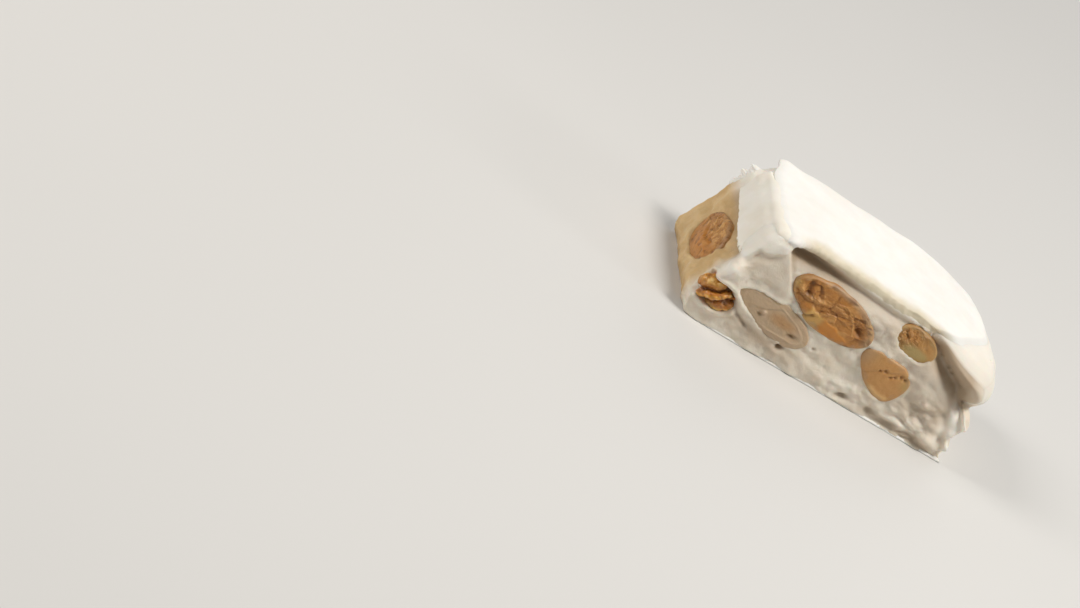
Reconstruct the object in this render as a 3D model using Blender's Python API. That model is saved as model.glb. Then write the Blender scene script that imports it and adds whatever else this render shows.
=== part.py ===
"""A slice of soft white nougat with whole and broken almonds, pressed between two sheets of edible wafer.

The slice lies flat on its lower wafer. +X runs along the slice to its rounded end, -Y is the knife-cut
front face, +Z is up. Sizes are in millimetres and are turned into metres as each mesh is finished.
"""
import math
from collections import namedtuple

import bmesh
import bpy
import numpy as np
from mathutils import Vector

MM = 0.001

# Driving dimensions of the slice, in millimetres
DEPTH = 36.0            # front cut face to back cut face
WAFER = 0.5             # thickness of one wafer sheet
GAP = 0.3               # clearance between pieces that touch
FOOT = WAFER + GAP      # underside of the nougat
TOP = 25.5              # top of the nougat over its level stretch
SWELL = 0.6             # the top swells by this near the left end
FOOT_LEFT = -33.3       # where the lower edge starts and ends along X
FOOT_RIGHT = 31.4
CROWN_LEFT = -27.3      # where the top starts
CROWN_RIGHT = 25.9      # where the top starts to roll over
ROLL_FOOT = 15.5        # height at which the rolled end turns vertical
CROWN_SWELL = 0.9       # the crown of the rolled end swells by this half way back
LEVEL_SHARE = 0.89      # share of the top's line before the roll
UPRIGHT_SHARE = 0.71    # share of the right end's line before the roll
END_REACH = 35.1        # furthest reach of the rolled end, half way back
END_BULGE = 3.6         # how much less it reaches at the front and back
SAG_START = 4.9         # the top sags towards the rolled end from here
SAG = 0.0074            # sag per millimetre squared
LEFT_SWELL = 2.6        # how far the left end swells out past a straight cut, just above its foot
EDGE_RADIUS = 0.8       # softness of the knife-cut edges
LIP_DROOP = 1.1         # the knife dragged the front edge of the top down by this
FLAP = 0.8              # thickness of the flap folded down over the left end
BLOCK = np.array([66.0, DEPTH, 25.0])  # the plain block before it is bent
BLOCK_CELLS = (33, 13, 13)  # faces along each of its edges

# Colours, as linear RGB
NOUGAT_COLOUR = (0.84, 0.77, 0.64, 1.0)
WAFER_COLOUR = (0.90, 0.87, 0.80, 1.0)
PALE_COLOUR = (0.55, 0.40, 0.25, 1.0)
TAN_COLOUR = (0.56, 0.32, 0.13, 1.0)
ROASTED_COLOUR = (0.40, 0.20, 0.07, 1.0)
CARAMEL_COLOUR = (0.36, 0.14, 0.03, 1.0)


def smoothstep(low, high, value):
    """0 below low, 1 above high, and a smooth rise between."""
    share = np.clip((value - low) / (high - low), 0.0, 1.0)
    return share * share * (3.0 - 2.0 * share)


def hump(value, centre, width):
    """A rounded ridge of height 1 at centre."""
    return np.exp(-(((value - centre) / width) ** 2))


class Lumps:
    """Smooth seeded noise, about -1 to 1, from random gradients on a unit lattice."""

    SIDE = 32

    def __init__(self, seed):
        draw = np.random.default_rng(seed)
        ways = draw.normal(size=(self.SIDE,) * 3 + (3,))
        self.ways = ways / np.linalg.norm(ways, axis=-1, keepdims=True)

    def __call__(self, x, y, z):
        points = np.stack(np.broadcast_arrays(x, y, z), -1)
        cell = np.floor(points).astype(int)
        inside = points - cell
        fade = inside**3 * (inside * (inside * 6 - 15) + 10)
        total = np.zeros(points.shape[:-1])
        for corner in np.ndindex(2, 2, 2):
            index = (cell + corner) % self.SIDE
            way = self.ways[index[..., 0], index[..., 1], index[..., 2]]
            reach = ((inside - corner) * way).sum(-1)
            share = np.prod(np.where(corner, fade, 1 - fade), axis=-1)
            total += reach * share
        return total * 1.6


LUMPS = Lumps(11)


def midway(y):
    """0 on the front and back faces and 1 half way between them."""
    return 1.0 - np.clip(np.abs(y) / (DEPTH / 2), 0, 1) ** 2


def top_height(x):
    """Height of the nougat's top before the rolled end."""
    return TOP + SWELL * hump(x, -16, 9) - SAG * np.maximum(x - SAG_START, 0.0) ** 2


def lip_share(x):
    """Where along the slice the front edge of the top is dragged down: 0 at the left, 1 past the middle."""
    return smoothstep(-12, 10, x)


def end_reach(y):
    """How far the rolled end reaches: furthest half way back."""
    return END_REACH - END_BULGE * (1 - midway(y))


def roll_curve(s, y):
    """The rolled end's line, a cubic curve from the crown (s = 0) over and down to upright (s = 1)."""
    reach = end_reach(y)
    start = top_height(CROWN_RIGHT) + CROWN_SWELL * midway(y)
    weights = [(1 - s) ** 3, 3 * s * (1 - s) ** 2, 3 * s * s * (1 - s), s**3]
    along = [CROWN_RIGHT, CROWN_RIGHT + 0.62 * (reach - CROWN_RIGHT), reach, reach]
    above = [start, start - 0.9, start - 1.6, ROLL_FOOT]
    x = sum(weight * place for weight, place in zip(weights, along))
    z = sum(weight * place for weight, place in zip(weights, above))
    return x, z


def top_curve(t, y):
    """The top's line from left (t = 0) to half way round the rolled end (t = 1)."""
    x = CROWN_LEFT + (CROWN_RIGHT - CROWN_LEFT) * np.minimum(t / LEVEL_SHARE, 1.0)
    z = top_height(x) + CROWN_SWELL * midway(y) * smoothstep(10.0, CROWN_RIGHT, x)
    roll_x, roll_z = roll_curve(0.5 * np.clip((t - LEVEL_SHARE) / (1 - LEVEL_SHARE), 0, 1), y)
    level = t < LEVEL_SHARE
    return np.where(level, x, roll_x), np.where(level, z, roll_z)


def left_curve(w, y):
    """The left end's line from bottom (w = 0) to top: a leaning cut, swelled low down, with its relief."""
    z = FOOT + (top_height(CROWN_LEFT) - FOOT) * w
    swell = LEFT_SWELL * smoothstep(-0.05, 0.15, w) * (1 - w)
    return FOOT_LEFT + (CROWN_LEFT - FOOT_LEFT) * w - swell - left_relief(y, z), z


def right_curve(w, y):
    """The right end's line from the foot (w = 0) to half way round the rolled end, with its relief."""
    rise = np.minimum(w / UPRIGHT_SHARE, 1.0)
    x = FOOT_RIGHT + (end_reach(y) - FOOT_RIGHT) * rise**1.5
    z = FOOT + (ROLL_FOOT - FOOT) * rise
    roll_x, roll_z = roll_curve(1 - 0.5 * np.clip((w - UPRIGHT_SHARE) / (1 - UPRIGHT_SHARE), 0, 1), y)
    upright = w < UPRIGHT_SHARE
    x, z = np.where(upright, x, roll_x), np.where(upright, z, roll_z)
    return x + right_relief(y, z), z


def block_point(t, b, w):
    """Position in the slice for t along it, b from front (-1) to back (1), and w up it, as arrays.

    In the XZ plane the top's line and the two ends' lines are blended across the slice (a Coons patch,
    whose foot is straight and so drops out). The relief of the cut faces then moves each point along Y,
    by its nearness to each face.
    """
    y = b * DEPTH / 2
    top_x, top_z = top_curve(t, y)
    left_x, left_z = left_curve(w, y)
    right_x, right_z = right_curve(w, y)
    corner_x, corner_z = roll_curve(0.5, y)
    x = (1 - t) * left_x + t * right_x + w * (top_x - (1 - t) * CROWN_LEFT - t * corner_x)
    z = (1 - t) * left_z + t * right_z + w * (top_z - (1 - t) * top_height(CROWN_LEFT) - t * corner_z)
    z -= LIP_DROOP * smoothstep(3.5 - DEPTH / 2, -DEPTH / 2, y) * lip_share(x) * smoothstep(0.6, 1.0, w)
    y = y - front_relief(x, z) * (1 - b) / 2 + back_relief(x, z) * (1 + b) / 2
    return np.stack([x, y, z], -1)


# The crease that the rolled end leaves on the front face, as (x, z) points
CREASE = ((13.0, 21.9), (19.3, 19.3), (26.0, 15.2), (29.5, 11.0))


def crease_distance(x, z):
    """Distance to the crease, negative below it and positive on the side of the rolled end."""
    nearest = np.full(np.shape(x), 1e9)
    signed = np.zeros(np.shape(x))
    for (x0, z0), (x1, z1) in zip(CREASE, CREASE[1:]):
        run_x, run_z = x1 - x0, z1 - z0
        share = np.clip(((x - x0) * run_x + (z - z0) * run_z) / (run_x**2 + run_z**2), 0, 1)
        away_x, away_z = x - x0 - share * run_x, z - z0 - share * run_z
        away = np.hypot(away_x, away_z)
        closer = away < nearest
        signed = np.where(closer, away * np.sign(away_z * run_x - away_x * run_z), signed)
        nearest = np.where(closer, away, nearest)
    return signed


def front_relief(x, z):
    """How far the front cut face stands out: a hollow under the wafer's lip, a crease and a lobe past it."""
    below_top = top_height(x) - LIP_DROOP * lip_share(x) - z
    past = crease_distance(x, z)
    lobe = smoothstep(-1.0, 2.5, past) * smoothstep(8.0, 13.0, x)
    hollow = smoothstep(-23.5, -20.5, x) * smoothstep(0.6, 2.4, below_top) * smoothstep(1.0, 7.0, z)
    under_lip = hump(below_top, 2.2, 1.3) * smoothstep(-24, -21, x) * smoothstep(16, 11, x)
    crease = hump(past, 0.0, 1.7) * smoothstep(10.0, 14.0, x)
    crumbly = smoothstep(14.0, 26.0, x) * smoothstep(14.0, 9.0, z)
    rounded = smoothstep(-30.5, -35.5, x) * smoothstep(16, 10, z)
    lumps = LUMPS(x / 7.0, 0.0, z / 6.0) * (0.35 + 0.6 * crumbly) - 1.5 * rounded
    return -0.7 * hollow * (1 - lobe) - 0.8 * under_lip - 1.3 * crease + 0.7 * lobe + lumps


def back_relief(x, z):
    """How far the back cut face stands out: a hollow between its edges, and lumps of its own."""
    hollow = smoothstep(0.4, 3.0, top_height(x) - z) * smoothstep(1.0, 6.0, z)
    hollow *= smoothstep(-30, -25, x) * smoothstep(28, 22, x)
    return -0.7 * hollow + 0.45 * LUMPS(x / 7.0, 5.5, z / 6.0)


def left_relief(y, z):
    """How far the left end stands out: the flap at its upper front, a hollow under it, a torn back corner."""
    flap = smoothstep(12.0, 11.0, y) * smoothstep(16.0, 17.5, z)
    hollow = hump(z, 14.0, 2.5) * smoothstep(-14, -10, y) * smoothstep(14, 10, y)
    torn_corner = smoothstep(11.0, 15.0, y) * smoothstep(21.0, 25.0, z)
    lumps = 0.3 * LUMPS(3.5, y / 6.0, z / 6.0)
    return FLAP * flap - 0.6 * hollow - 1.6 * torn_corner + lumps


def right_relief(y, z):
    """How far the right end stands out: torn in crags up to the notch below its smooth lobe."""
    torn = smoothstep(14.8, 12.5, z)
    notch = hump(z, 12.6, 1.8)
    lumps = LUMPS(9.5, y / 5.0, z / 4.0)
    return -1.8 * notch + lumps * (0.2 + 0.8 * torn)


# Each face that carries almonds, as an origin and the ways across it, up it and out of it
Face = namedtuple("Face", "origin across up out")
LEAN = math.atan2(CROWN_LEFT - FOOT_LEFT, TOP - FOOT)
LEFT_OUT = (-math.cos(LEAN), 0.0, math.sin(LEAN))
LEFT_UP = (math.sin(LEAN), 0.0, math.cos(LEAN))
FRONT = Face((0.0, -DEPTH / 2, 0.0), (1.0, 0.0, 0.0), (0.0, 0.0, 1.0), (0.0, -1.0, 0.0))
BACK = Face((0.0, DEPTH / 2, 0.0), (1.0, 0.0, 0.0), (0.0, 0.0, 1.0), (0.0, 1.0, 0.0))
LEFT = Face((FOOT_LEFT, 0.0, FOOT), (0.0, 1.0, 0.0), LEFT_UP, LEFT_OUT)
RIGHT = Face((FOOT_RIGHT, 0.0, 0.0), (0.0, 1.0, 0.0), (0.0, 0.0, 1.0), (1.0, 0.0, 0.0))

# A cut almond: where it lies on its face, its length and width there, its turn in degrees, how much it
# narrows towards one end, how square it is (2 is an ellipse), its depth, and how far it stands out
Almond = namedtuple("Almond", "name face across up length width turn taper square depth proud colour")
ALMONDS = (
    Almond("almond_pale", FRONT, -17.8, 9.4, 19.2, 7.2, 168, 0.25, 1.8, 3.6, -0.3, PALE_COLOUR),
    Almond("almond_roasted", FRONT, -7.9, 17.0, 21.8, 9.6, 349, -0.08, 1.8, 5.0, -0.3, ROASTED_COLOUR),
    Almond("almond_upper", FRONT, 11.2, 19.9, 9.6, 6.0, 343, 0.0, 2.0, 3.6, -0.9, TAN_COLOUR),
    Almond("almond_lower", FRONT, 9.2, 10.8, 13.2, 8.2, 156, 0.35, 2.4, 4.4, -0.2, TAN_COLOUR),
    Almond("almond_end", LEFT, 1.7, 8.6, 17.2, 11.4, 174, 0.0, 2.1, 5.0, 1.5, ROASTED_COLOUR),
    Almond("almond_back_left", BACK, -20.5, 15.6, 19.0, 8.8, 24, 0.25, 2.0, 4.4, -0.3, ROASTED_COLOUR),
    Almond("almond_back_low", BACK, -11.0, 6.8, 17.5, 7.6, 352, 0.2, 2.0, 4.0, -0.3, PALE_COLOUR),
    Almond("almond_back_high", BACK, 0.6, 17.8, 20.0, 8.4, 172, 0.3, 2.0, 4.4, -0.2, TAN_COLOUR),
    Almond("almond_back_middle", BACK, 10.4, 7.6, 14.5, 8.0, 30, 0.2, 2.2, 4.2, -0.3, ROASTED_COLOUR),
    Almond("almond_back_right", BACK, 19.6, 14.0, 12.5, 7.0, 118, 0.25, 2.0, 3.8, -0.3, TAN_COLOUR),
    Almond("almond_right", RIGHT, 5.0, 6.6, 12.0, 6.6, 10, 0.2, 2.0, 3.6, 0.1, ROASTED_COLOUR),
)
RIM_POINTS = 16
FACE_RINGS = (0.55, 0.88)  # rings of points on an almond's cut face, as shares of its outline
BOWL_ANGLES = (25, 50, 75)  # rings on its buried side, in degrees round from the rim

# The caramelised nut at the front left corner: its centre, and its reach along, back and up
CORNER_NUT = (-29.8, -15.9, 7.5)
CORNER_REACH = (5.0, 3.1, 3.9)


def almond_outline(almond, grow):
    """Points round an almond's cut face, across and up from its centre, grown by a clearance.

    A superellipse whose width changes steadily along it, so that one end is narrower.
    """
    angle = np.linspace(0, 2 * math.pi, RIM_POINTS, endpoint=False)
    along = np.sign(np.cos(angle)) * np.abs(np.cos(angle)) ** (2 / almond.square)
    aside = np.sign(np.sin(angle)) * np.abs(np.sin(angle)) ** (2 / almond.square)
    long_way = (almond.length / 2 + grow) * along
    wide_way = (almond.width / 2 + grow) * aside * (1 - almond.taper * along)
    turn = math.radians(almond.turn)
    across = long_way * math.cos(turn) - wide_way * math.sin(turn)
    up = long_way * math.sin(turn) + wide_way * math.cos(turn)
    return np.stack([across, up], -1)


def lofted(rings, poles):
    """A closed bmesh: rings of equal counts of points, joined in order, and a pole point at each end."""
    bm = bmesh.new()
    rows = [[bm.verts.new(place) for place in ring] for ring in rings]
    for lower, upper in zip(rows, rows[1:]):
        for i in range(len(lower)):
            j = (i + 1) % len(lower)
            bm.faces.new((lower[i], lower[j], upper[j], upper[i]))
    for row, place in ((rows[0], poles[0]), (rows[-1], poles[1])):
        pole = bm.verts.new(place)
        for i in range(len(row)):
            bm.faces.new((row[i], row[(i + 1) % len(row)], pole))
    bmesh.ops.recalc_face_normals(bm, faces=bm.faces[:])
    return bm


def placed(face, across, up, out):
    """Points on a face, from distances across, up and out, as an array."""
    ways = [np.multiply.outer(np.asarray(far, float), way)
            for far, way in ((across, face.across), (up, face.up), (out, face.out))]
    return np.array(face.origin) + ways[0] + ways[1] + ways[2]


def almond_mesh(almond, grow=0.0, open_out=0.0):
    """An almond cut at its face: a rough flat side and a bowl behind it.

    With grow and open_out it is the pocket's cutter, larger all round and run straight out of the face.
    """
    outline = almond_outline(almond, grow)
    rings = []
    if open_out:
        rings.append(placed(almond.face, *(outline + (almond.across, almond.up)).T,
                            np.full(RIM_POINTS, almond.proud + open_out)))
    for share in () if open_out else FACE_RINGS:
        across, up = (outline * share + (almond.across, almond.up)).T
        rough = 0.35 * LUMPS(across / 3.0, almond.depth, up / 3.0)
        rings.append(placed(almond.face, across, up, almond.proud + 0.25 + rough))
    for degrees in (0, *BOWL_ANGLES):
        angle = math.radians(degrees)
        across, up = (outline * math.cos(angle) + (almond.across, almond.up)).T
        depth = (almond.depth + grow) * math.sin(angle)
        rings.append(placed(almond.face, across, up, np.full(RIM_POINTS, almond.proud - depth)))
    top = almond.proud + (open_out or 0.3)
    poles = [placed(almond.face, almond.across, almond.up, out)
             for out in (top, almond.proud - almond.depth - grow)]
    return lofted(rings, poles)


def corner_nut_mesh(grow=0.0):
    """The corner nut: a ball squashed to its reach, with soft folds, grown by a clearance for its pocket."""
    count, turns = 7, 16
    rings = []
    for i in range(1, count):
        polar = math.pi * i / count
        around = np.linspace(0, 2 * math.pi, turns, endpoint=False)
        way = np.stack([math.sin(polar) * np.cos(around), math.sin(polar) * np.sin(around),
                        np.full(turns, math.cos(polar))], -1)
        fold = 1 + 0.09 * np.sin(3 * around + 4 * math.cos(polar)) * math.sin(polar)
        reach = np.array(CORNER_REACH) * fold[:, None] + grow
        rings.append(np.array(CORNER_NUT) + way * reach)
    poles = [np.array(CORNER_NUT) + (0, 0, side * (CORNER_REACH[2] + grow)) for side in (1, -1)]
    return lofted(rings, poles)


def grid_stops(length, count):
    """Stops along an edge: one at each edge radius, and the rest spread evenly between."""
    inner = np.linspace(EDGE_RADIUS, length - EDGE_RADIUS, count - 1)
    return [0.0, *inner, length]


def subdivided_box(stops):
    """A closed box from 0 to the last stop along each axis, with its faces cut at every stop."""
    bm = bmesh.new()
    bmesh.ops.create_cube(bm, size=1.0)
    for v in bm.verts:
        v.co = Vector(s[-1] * (c + 0.5) for s, c in zip(stops, v.co))
    for axis, along in enumerate(stops):
        for stop in along[1:-1]:
            place, way = Vector((0, 0, 0)), Vector((0, 0, 0))
            place[axis] = stop
            way[axis] = 1
            geometry = bm.verts[:] + bm.edges[:] + bm.faces[:]
            bmesh.ops.bisect_plane(bm, geom=geometry, dist=1e-5, plane_co=place, plane_no=way)
    return bm


def nougat_surface(points):
    """Turns points of the plain block into the nougat's surface.

    The block's edges are rounded first: each point is pulled to a ball of the edge radius around the inner
    block. The slice's curves and relief then bend it.
    """
    inner = np.clip(points, EDGE_RADIUS, BLOCK - EDGE_RADIUS)
    way = points - inner
    way /= np.linalg.norm(way, axis=-1, keepdims=True)
    soft = (inner + EDGE_RADIUS * way) / BLOCK
    return block_point(soft[:, 0], soft[:, 1] * 2 - 1, soft[:, 2])


def new_object(name, bm, colour, roughness):
    """Writes a bmesh, in millimetres, as an object in metres with a material of its own."""
    mesh = bpy.data.meshes.new(name)
    bmesh.ops.scale(bm, vec=Vector((MM, MM, MM)), verts=bm.verts[:])
    bm.to_mesh(mesh)
    bm.free()
    obj = bpy.data.objects.new(name, mesh)
    bpy.context.scene.collection.objects.link(obj)
    material = bpy.data.materials.new(name)
    material.use_nodes = True
    shader = material.node_tree.nodes["Principled BSDF"]
    shader.inputs["Base Color"].default_value = colour
    shader.inputs["Roughness"].default_value = roughness
    shader.inputs["Metallic"].default_value = 0.0
    mesh.materials.append(material)
    return obj


def make_nougat(pockets):
    """The nougat: the plain block bent to the slice's form, less the almonds' pockets."""
    bm = subdivided_box([grid_stops(length, count) for length, count in zip(BLOCK, BLOCK_CELLS)])
    places = nougat_surface(np.array([v.co for v in bm.verts]))
    for v, place in zip(bm.verts, places):
        v.co = place
    flat = {f for f in bm.faces if all(abs(v.co.z - FOOT) < 1e-3 for v in f.verts)}
    inside = [e for e in bm.edges if all(f in flat for f in e.link_faces)]
    bmesh.ops.dissolve_edges(bm, edges=inside, use_verts=True)
    bmesh.ops.recalc_face_normals(bm, faces=bm.faces[:])
    nougat = new_object("nougat", bm, NOUGAT_COLOUR, 0.55)
    cut = nougat.modifiers.new("pockets", "BOOLEAN")
    cut.operation = "DIFFERENCE"
    cut.solver = "EXACT"
    cut.operand_type = "COLLECTION"
    cut.collection = pockets


def add_cutter(pockets, name, bm):
    """Puts a pocket's cutter into the collection that the nougat is cut by."""
    cutter = new_object(name, bm, NOUGAT_COLOUR, 0.55)
    bpy.context.scene.collection.objects.unlink(cutter)
    pockets.objects.link(cutter)
    cutter.display_type = "WIRE"
    cutter.hide_render = True


def make_nuts(pockets):
    """Every almond and the corner nut, and the pockets that they sit in."""
    for almond in ALMONDS:
        new_object(almond.name, almond_mesh(almond), almond.colour, 0.5)
        add_cutter(pockets, "pocket_" + almond.name, almond_mesh(almond, grow=GAP, open_out=4.0))
    new_object("nut_corner", corner_nut_mesh(), CARAMEL_COLOUR, 0.35)
    add_cutter(pockets, "pocket_nut_corner", corner_nut_mesh(grow=GAP))


def wafer_end(b):
    """How far along the top the upper wafer reaches: it runs out across the rolled end at the front."""
    share = np.clip((b + 1) / 0.85, 0, 1)
    return 0.667 + 0.32 * (1 - (1 - share) ** 1.8)


def wafer_start(b):
    """Where the upper wafer starts along the top: a torn edge, furthest left behind the middle."""
    return 0.022 - 0.031 * hump(b, 0.35, 0.5) + 0.006 * LUMPS(b * 4.0, 2.5, 0.5)


def make_wafer_top():
    """The upper wafer: a sheet laid on the nougat's top at the clearance, its left back corner torn up."""
    along, back = np.meshgrid(np.linspace(0, 1, 24), np.linspace(-1.008, 1.008, 11), indexing="ij")
    t = wafer_start(back) + (wafer_end(back) - wafer_start(back)) * along
    under = block_point(t, back, np.ones_like(t))
    tip = smoothstep(0.12, 0.0, along) * smoothstep(0.7, 1.0, back)
    under[..., 2] += 0.9 * tip
    normal = np.cross(np.gradient(under, axis=0), np.gradient(under, axis=1))
    normal /= np.linalg.norm(normal, axis=-1, keepdims=True)
    bm = bmesh.new()
    sheets = []
    for offset in (GAP, GAP + WAFER):
        places = under + normal * offset
        sheets.append([[bm.verts.new(place) for place in row] for row in places])
    lower, upper = sheets
    rows, columns = len(lower), len(lower[0])
    for i in range(rows - 1):
        for j in range(columns - 1):
            for sheet in sheets:
                bm.faces.new((sheet[i][j], sheet[i + 1][j], sheet[i + 1][j + 1], sheet[i][j + 1]))
    rim = [(i, 0) for i in range(rows)] + [(rows - 1, j) for j in range(1, columns)]
    rim += [(i, columns - 1) for i in range(rows - 2, -1, -1)] + [(0, j) for j in range(columns - 2, 0, -1)]
    for (i, j), (k, m) in zip(rim, rim[1:] + rim[:1]):
        bm.faces.new((lower[i][j], lower[k][m], upper[k][m], upper[i][j]))
    bmesh.ops.recalc_face_normals(bm, faces=bm.faces[:])
    new_object("wafer_top", bm, WAFER_COLOUR, 0.7)


def make_wafer_bottom():
    """The lower wafer: a flat sheet under the nougat, its edges a little uneven, its right end broken."""
    side = np.linspace(0, 1, 30)
    end = np.linspace(0, 1, 16)[1:-1]
    length, depth = FOOT_RIGHT - FOOT_LEFT + 0.3, DEPTH + 0.1
    outline = [(s, 0) for s in side] + [(1, s) for s in end] + [(s, 1) for s in side[::-1]]
    outline += [(0, s) for s in end[::-1]]
    share = np.array(outline)
    x = FOOT_LEFT + share[:, 0] * length
    y = -depth / 2 + share[:, 1] * depth
    x += 0.5 * LUMPS(7.5, y / 2.4, 0.0) * smoothstep(0.5, 1.0, share[:, 0])
    x += 0.2 * LUMPS(6.5, y / 3.0, 0.0)
    y += 0.12 * LUMPS(x / 4.0, 8.5, 0.0)
    bm = bmesh.new()
    lower = [bm.verts.new((px, py, 0.0)) for px, py in zip(x, y)]
    upper = [bm.verts.new((px, py, WAFER)) for px, py in zip(x, y)]
    bm.faces.new(lower)
    bm.faces.new(upper)
    for i in range(len(lower)):
        j = (i + 1) % len(lower)
        bm.faces.new((lower[i], lower[j], upper[j], upper[i]))
    bmesh.ops.recalc_face_normals(bm, faces=bm.faces[:])
    new_object("wafer_bottom", bm, WAFER_COLOUR, 0.7)


def main():
    for obj in list(bpy.data.objects):
        bpy.data.objects.remove(obj, do_unlink=True)
    pockets = bpy.data.collections.new("pockets")
    bpy.context.scene.collection.children.link(pockets)
    make_nuts(pockets)
    make_nougat(pockets)
    make_wafer_top()
    make_wafer_bottom()


main()
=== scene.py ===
"""The looks of a slice of soft white nougat with almonds, lying flat on its lower wafer."""
import math

import bmesh
import bpy
import numpy as np
from mathutils import Matrix


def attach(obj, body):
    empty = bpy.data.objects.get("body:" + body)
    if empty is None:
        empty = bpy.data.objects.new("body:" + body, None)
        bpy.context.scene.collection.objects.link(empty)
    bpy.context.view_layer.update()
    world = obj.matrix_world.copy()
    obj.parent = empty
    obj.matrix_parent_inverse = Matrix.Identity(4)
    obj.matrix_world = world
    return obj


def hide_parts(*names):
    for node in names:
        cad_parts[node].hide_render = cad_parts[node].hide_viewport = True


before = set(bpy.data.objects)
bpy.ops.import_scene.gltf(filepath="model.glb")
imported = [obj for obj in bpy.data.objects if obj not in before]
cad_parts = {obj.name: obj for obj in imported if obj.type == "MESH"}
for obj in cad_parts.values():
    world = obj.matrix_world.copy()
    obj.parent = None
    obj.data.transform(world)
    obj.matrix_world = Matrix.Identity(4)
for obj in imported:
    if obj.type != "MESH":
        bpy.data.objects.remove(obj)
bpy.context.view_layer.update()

# The nougat: a whipped sugar, honey and egg-white paste, set soft between two wafers and cut with a knife.
# It shows on the front, back and both ends, dragged and pitted by the blade, and it rolls over at the
# right end. Its almonds sit in hollows sunk into its faces.

# Sizes are in millimetres, with X along the slice, Y from front to back and Z up from the table
DEPTH = 36.0
FOOT, TOP = 0.05, 25.5
FOOT_LEFT, FOOT_RIGHT = -33.3, 31.4
CROWN_LEFT, CROWN_RIGHT = -27.3, 25.9
SWELL, SWELL_MIDDLE, SWELL_REACH = 0.6, -16, 9  # the top's low swelling near the left
SAG_START, SAG = 4.9, 0.0074  # where the top starts to sag, and its fall in mm per squared mm
CROWN_SWELL = 0.9  # how much higher the rolled end is half way back
ROLL_FOOT = 15.5
ROLL_MIDDLE = (24.5, 14.5)
LEVEL_SHARE, UPRIGHT_SHARE = 0.89, 0.71  # shares of the top and of the right end before the roll
END_REACH, END_BULGE, FRONT_BULGE = 35.1, 3.6, 0.8
LEFT_SWELL = 2.6
EDGE_RADIUS = 0.45
LIP_DROOP, LEFT_DROOP, DROOP_REACH = 0.5, 0.3, 4.0
LIP_SET_BACK = 2.7  # how far the front edge of the top stands behind the cut face
LIP_ROUND, LEFT_ROUND, CROWN_ROUND, RIGHT_ROUND = 5.0, 3.2, 3.0, 3.4  # how far in the edges' rounding starts
FLAP = 0.8  # how thick the skin on the left end is
LEFT_FOOT = 0.8  # the height at which the left face's own frame starts
BLOCK = np.array([66.0, DEPTH, 25.0])  # the plain block that is bent into the slice
CELLS = (262, 100, 96)
TEAR_POINT = np.array([-28.7, 18.0, 20.6])  # the back left corner of the top is torn off past this plane
TEAR_WAY = np.array([-0.642, 0.349, 0.682])
CORNER_NUT = np.array([-29.8, -15.9, 7.2])
CORNER_REACH = np.array([5.0, 3.1, 3.5])


def smoothstep(low, high, value):
    """0 below low, 1 above high, and a smooth rise between."""
    share = np.clip((value - low) / (high - low), 0.0, 1.0)
    return share * share * (3.0 - 2.0 * share)


def band(value, low, full, fall, end):
    """A smooth rise from low to full and a smooth fall from fall to end, with 1 between them."""
    return smoothstep(low, full, value) * smoothstep(end, fall, value)


def held(share):
    """A share kept between 0 and 1."""
    return np.clip(share, 0, 1)


def hump(value, centre, width):
    """A rounded ridge of height 1 at centre, falling away as a bell curve."""
    return np.exp(-(((value - centre) / width) ** 2))


class Lumps:
    """Smooth seeded noise, about -1 to 1: at each point, the eight random slopes of the lattice cell around
    it are followed to the point and blended by a smooth fade."""

    SIDE = 32

    def __init__(self, seed):
        draw = np.random.default_rng(seed)
        ways = draw.normal(size=(self.SIDE,) * 3 + (3,))
        self.ways = ways / np.linalg.norm(ways, axis=-1, keepdims=True)

    def __call__(self, x, y, z):
        points = np.stack(np.broadcast_arrays(x, y, z), -1)
        cell = np.floor(points).astype(int)
        inside = points - cell
        fade = inside**3 * (inside * (inside * 6 - 15) + 10)
        total = np.zeros(points.shape[:-1])
        for corner in np.ndindex(2, 2, 2):
            index = (cell + corner) % self.SIDE
            way = self.ways[index[..., 0], index[..., 1], index[..., 2]]
            reach = ((inside - corner) * way).sum(-1)
            share = np.prod(np.where(corner, fade, 1 - fade), axis=-1)
            total += reach * share
        return total * 1.6


LUMPS = Lumps(11)
FINE = Lumps(23)


def rough(x, y, z, size, octaves=3):
    """Lumps of the given size with finer and fainter ones on them, halved each time."""
    return sum(FINE(x / size * 2**i, y / size * 2**i + 7.3 * i, z / size * 2**i) / 2**i
               for i in range(octaves))


def spot(u, v, mid_u, mid_v, reach_u, reach_v, turn=0.0):
    """An oval rounded hump, 1 at its middle, with its long way turned by some degrees."""
    c, s = math.cos(math.radians(turn)), math.sin(math.radians(turn))
    along, aside = (u - mid_u) * c + (v - mid_v) * s, (v - mid_v) * c - (u - mid_u) * s
    return np.exp(-((along / reach_u) ** 2) - (aside / reach_v) ** 2)


def spots(u, v, marks):
    """Oval humps added up, each given as its weight, middle, reaches and turn."""
    return sum(weight * spot(u, v, *place) for weight, *place in marks)


def stroke(u, v, points, width):
    """A line of height 1 through the points, falling off to both sides over the width."""
    nearest = np.full(np.shape(u), 1e9)
    for (u0, v0), (u1, v1) in zip(points, points[1:]):
        run_u, run_v = u1 - u0, v1 - v0
        share = held(((u - u0) * run_u + (v - v0) * run_v) / (run_u**2 + run_v**2))
        nearest = np.minimum(nearest, np.hypot(u - u0 - share * run_u, v - v0 - share * run_v))
    return np.exp(-((nearest / width) ** 2))


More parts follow.
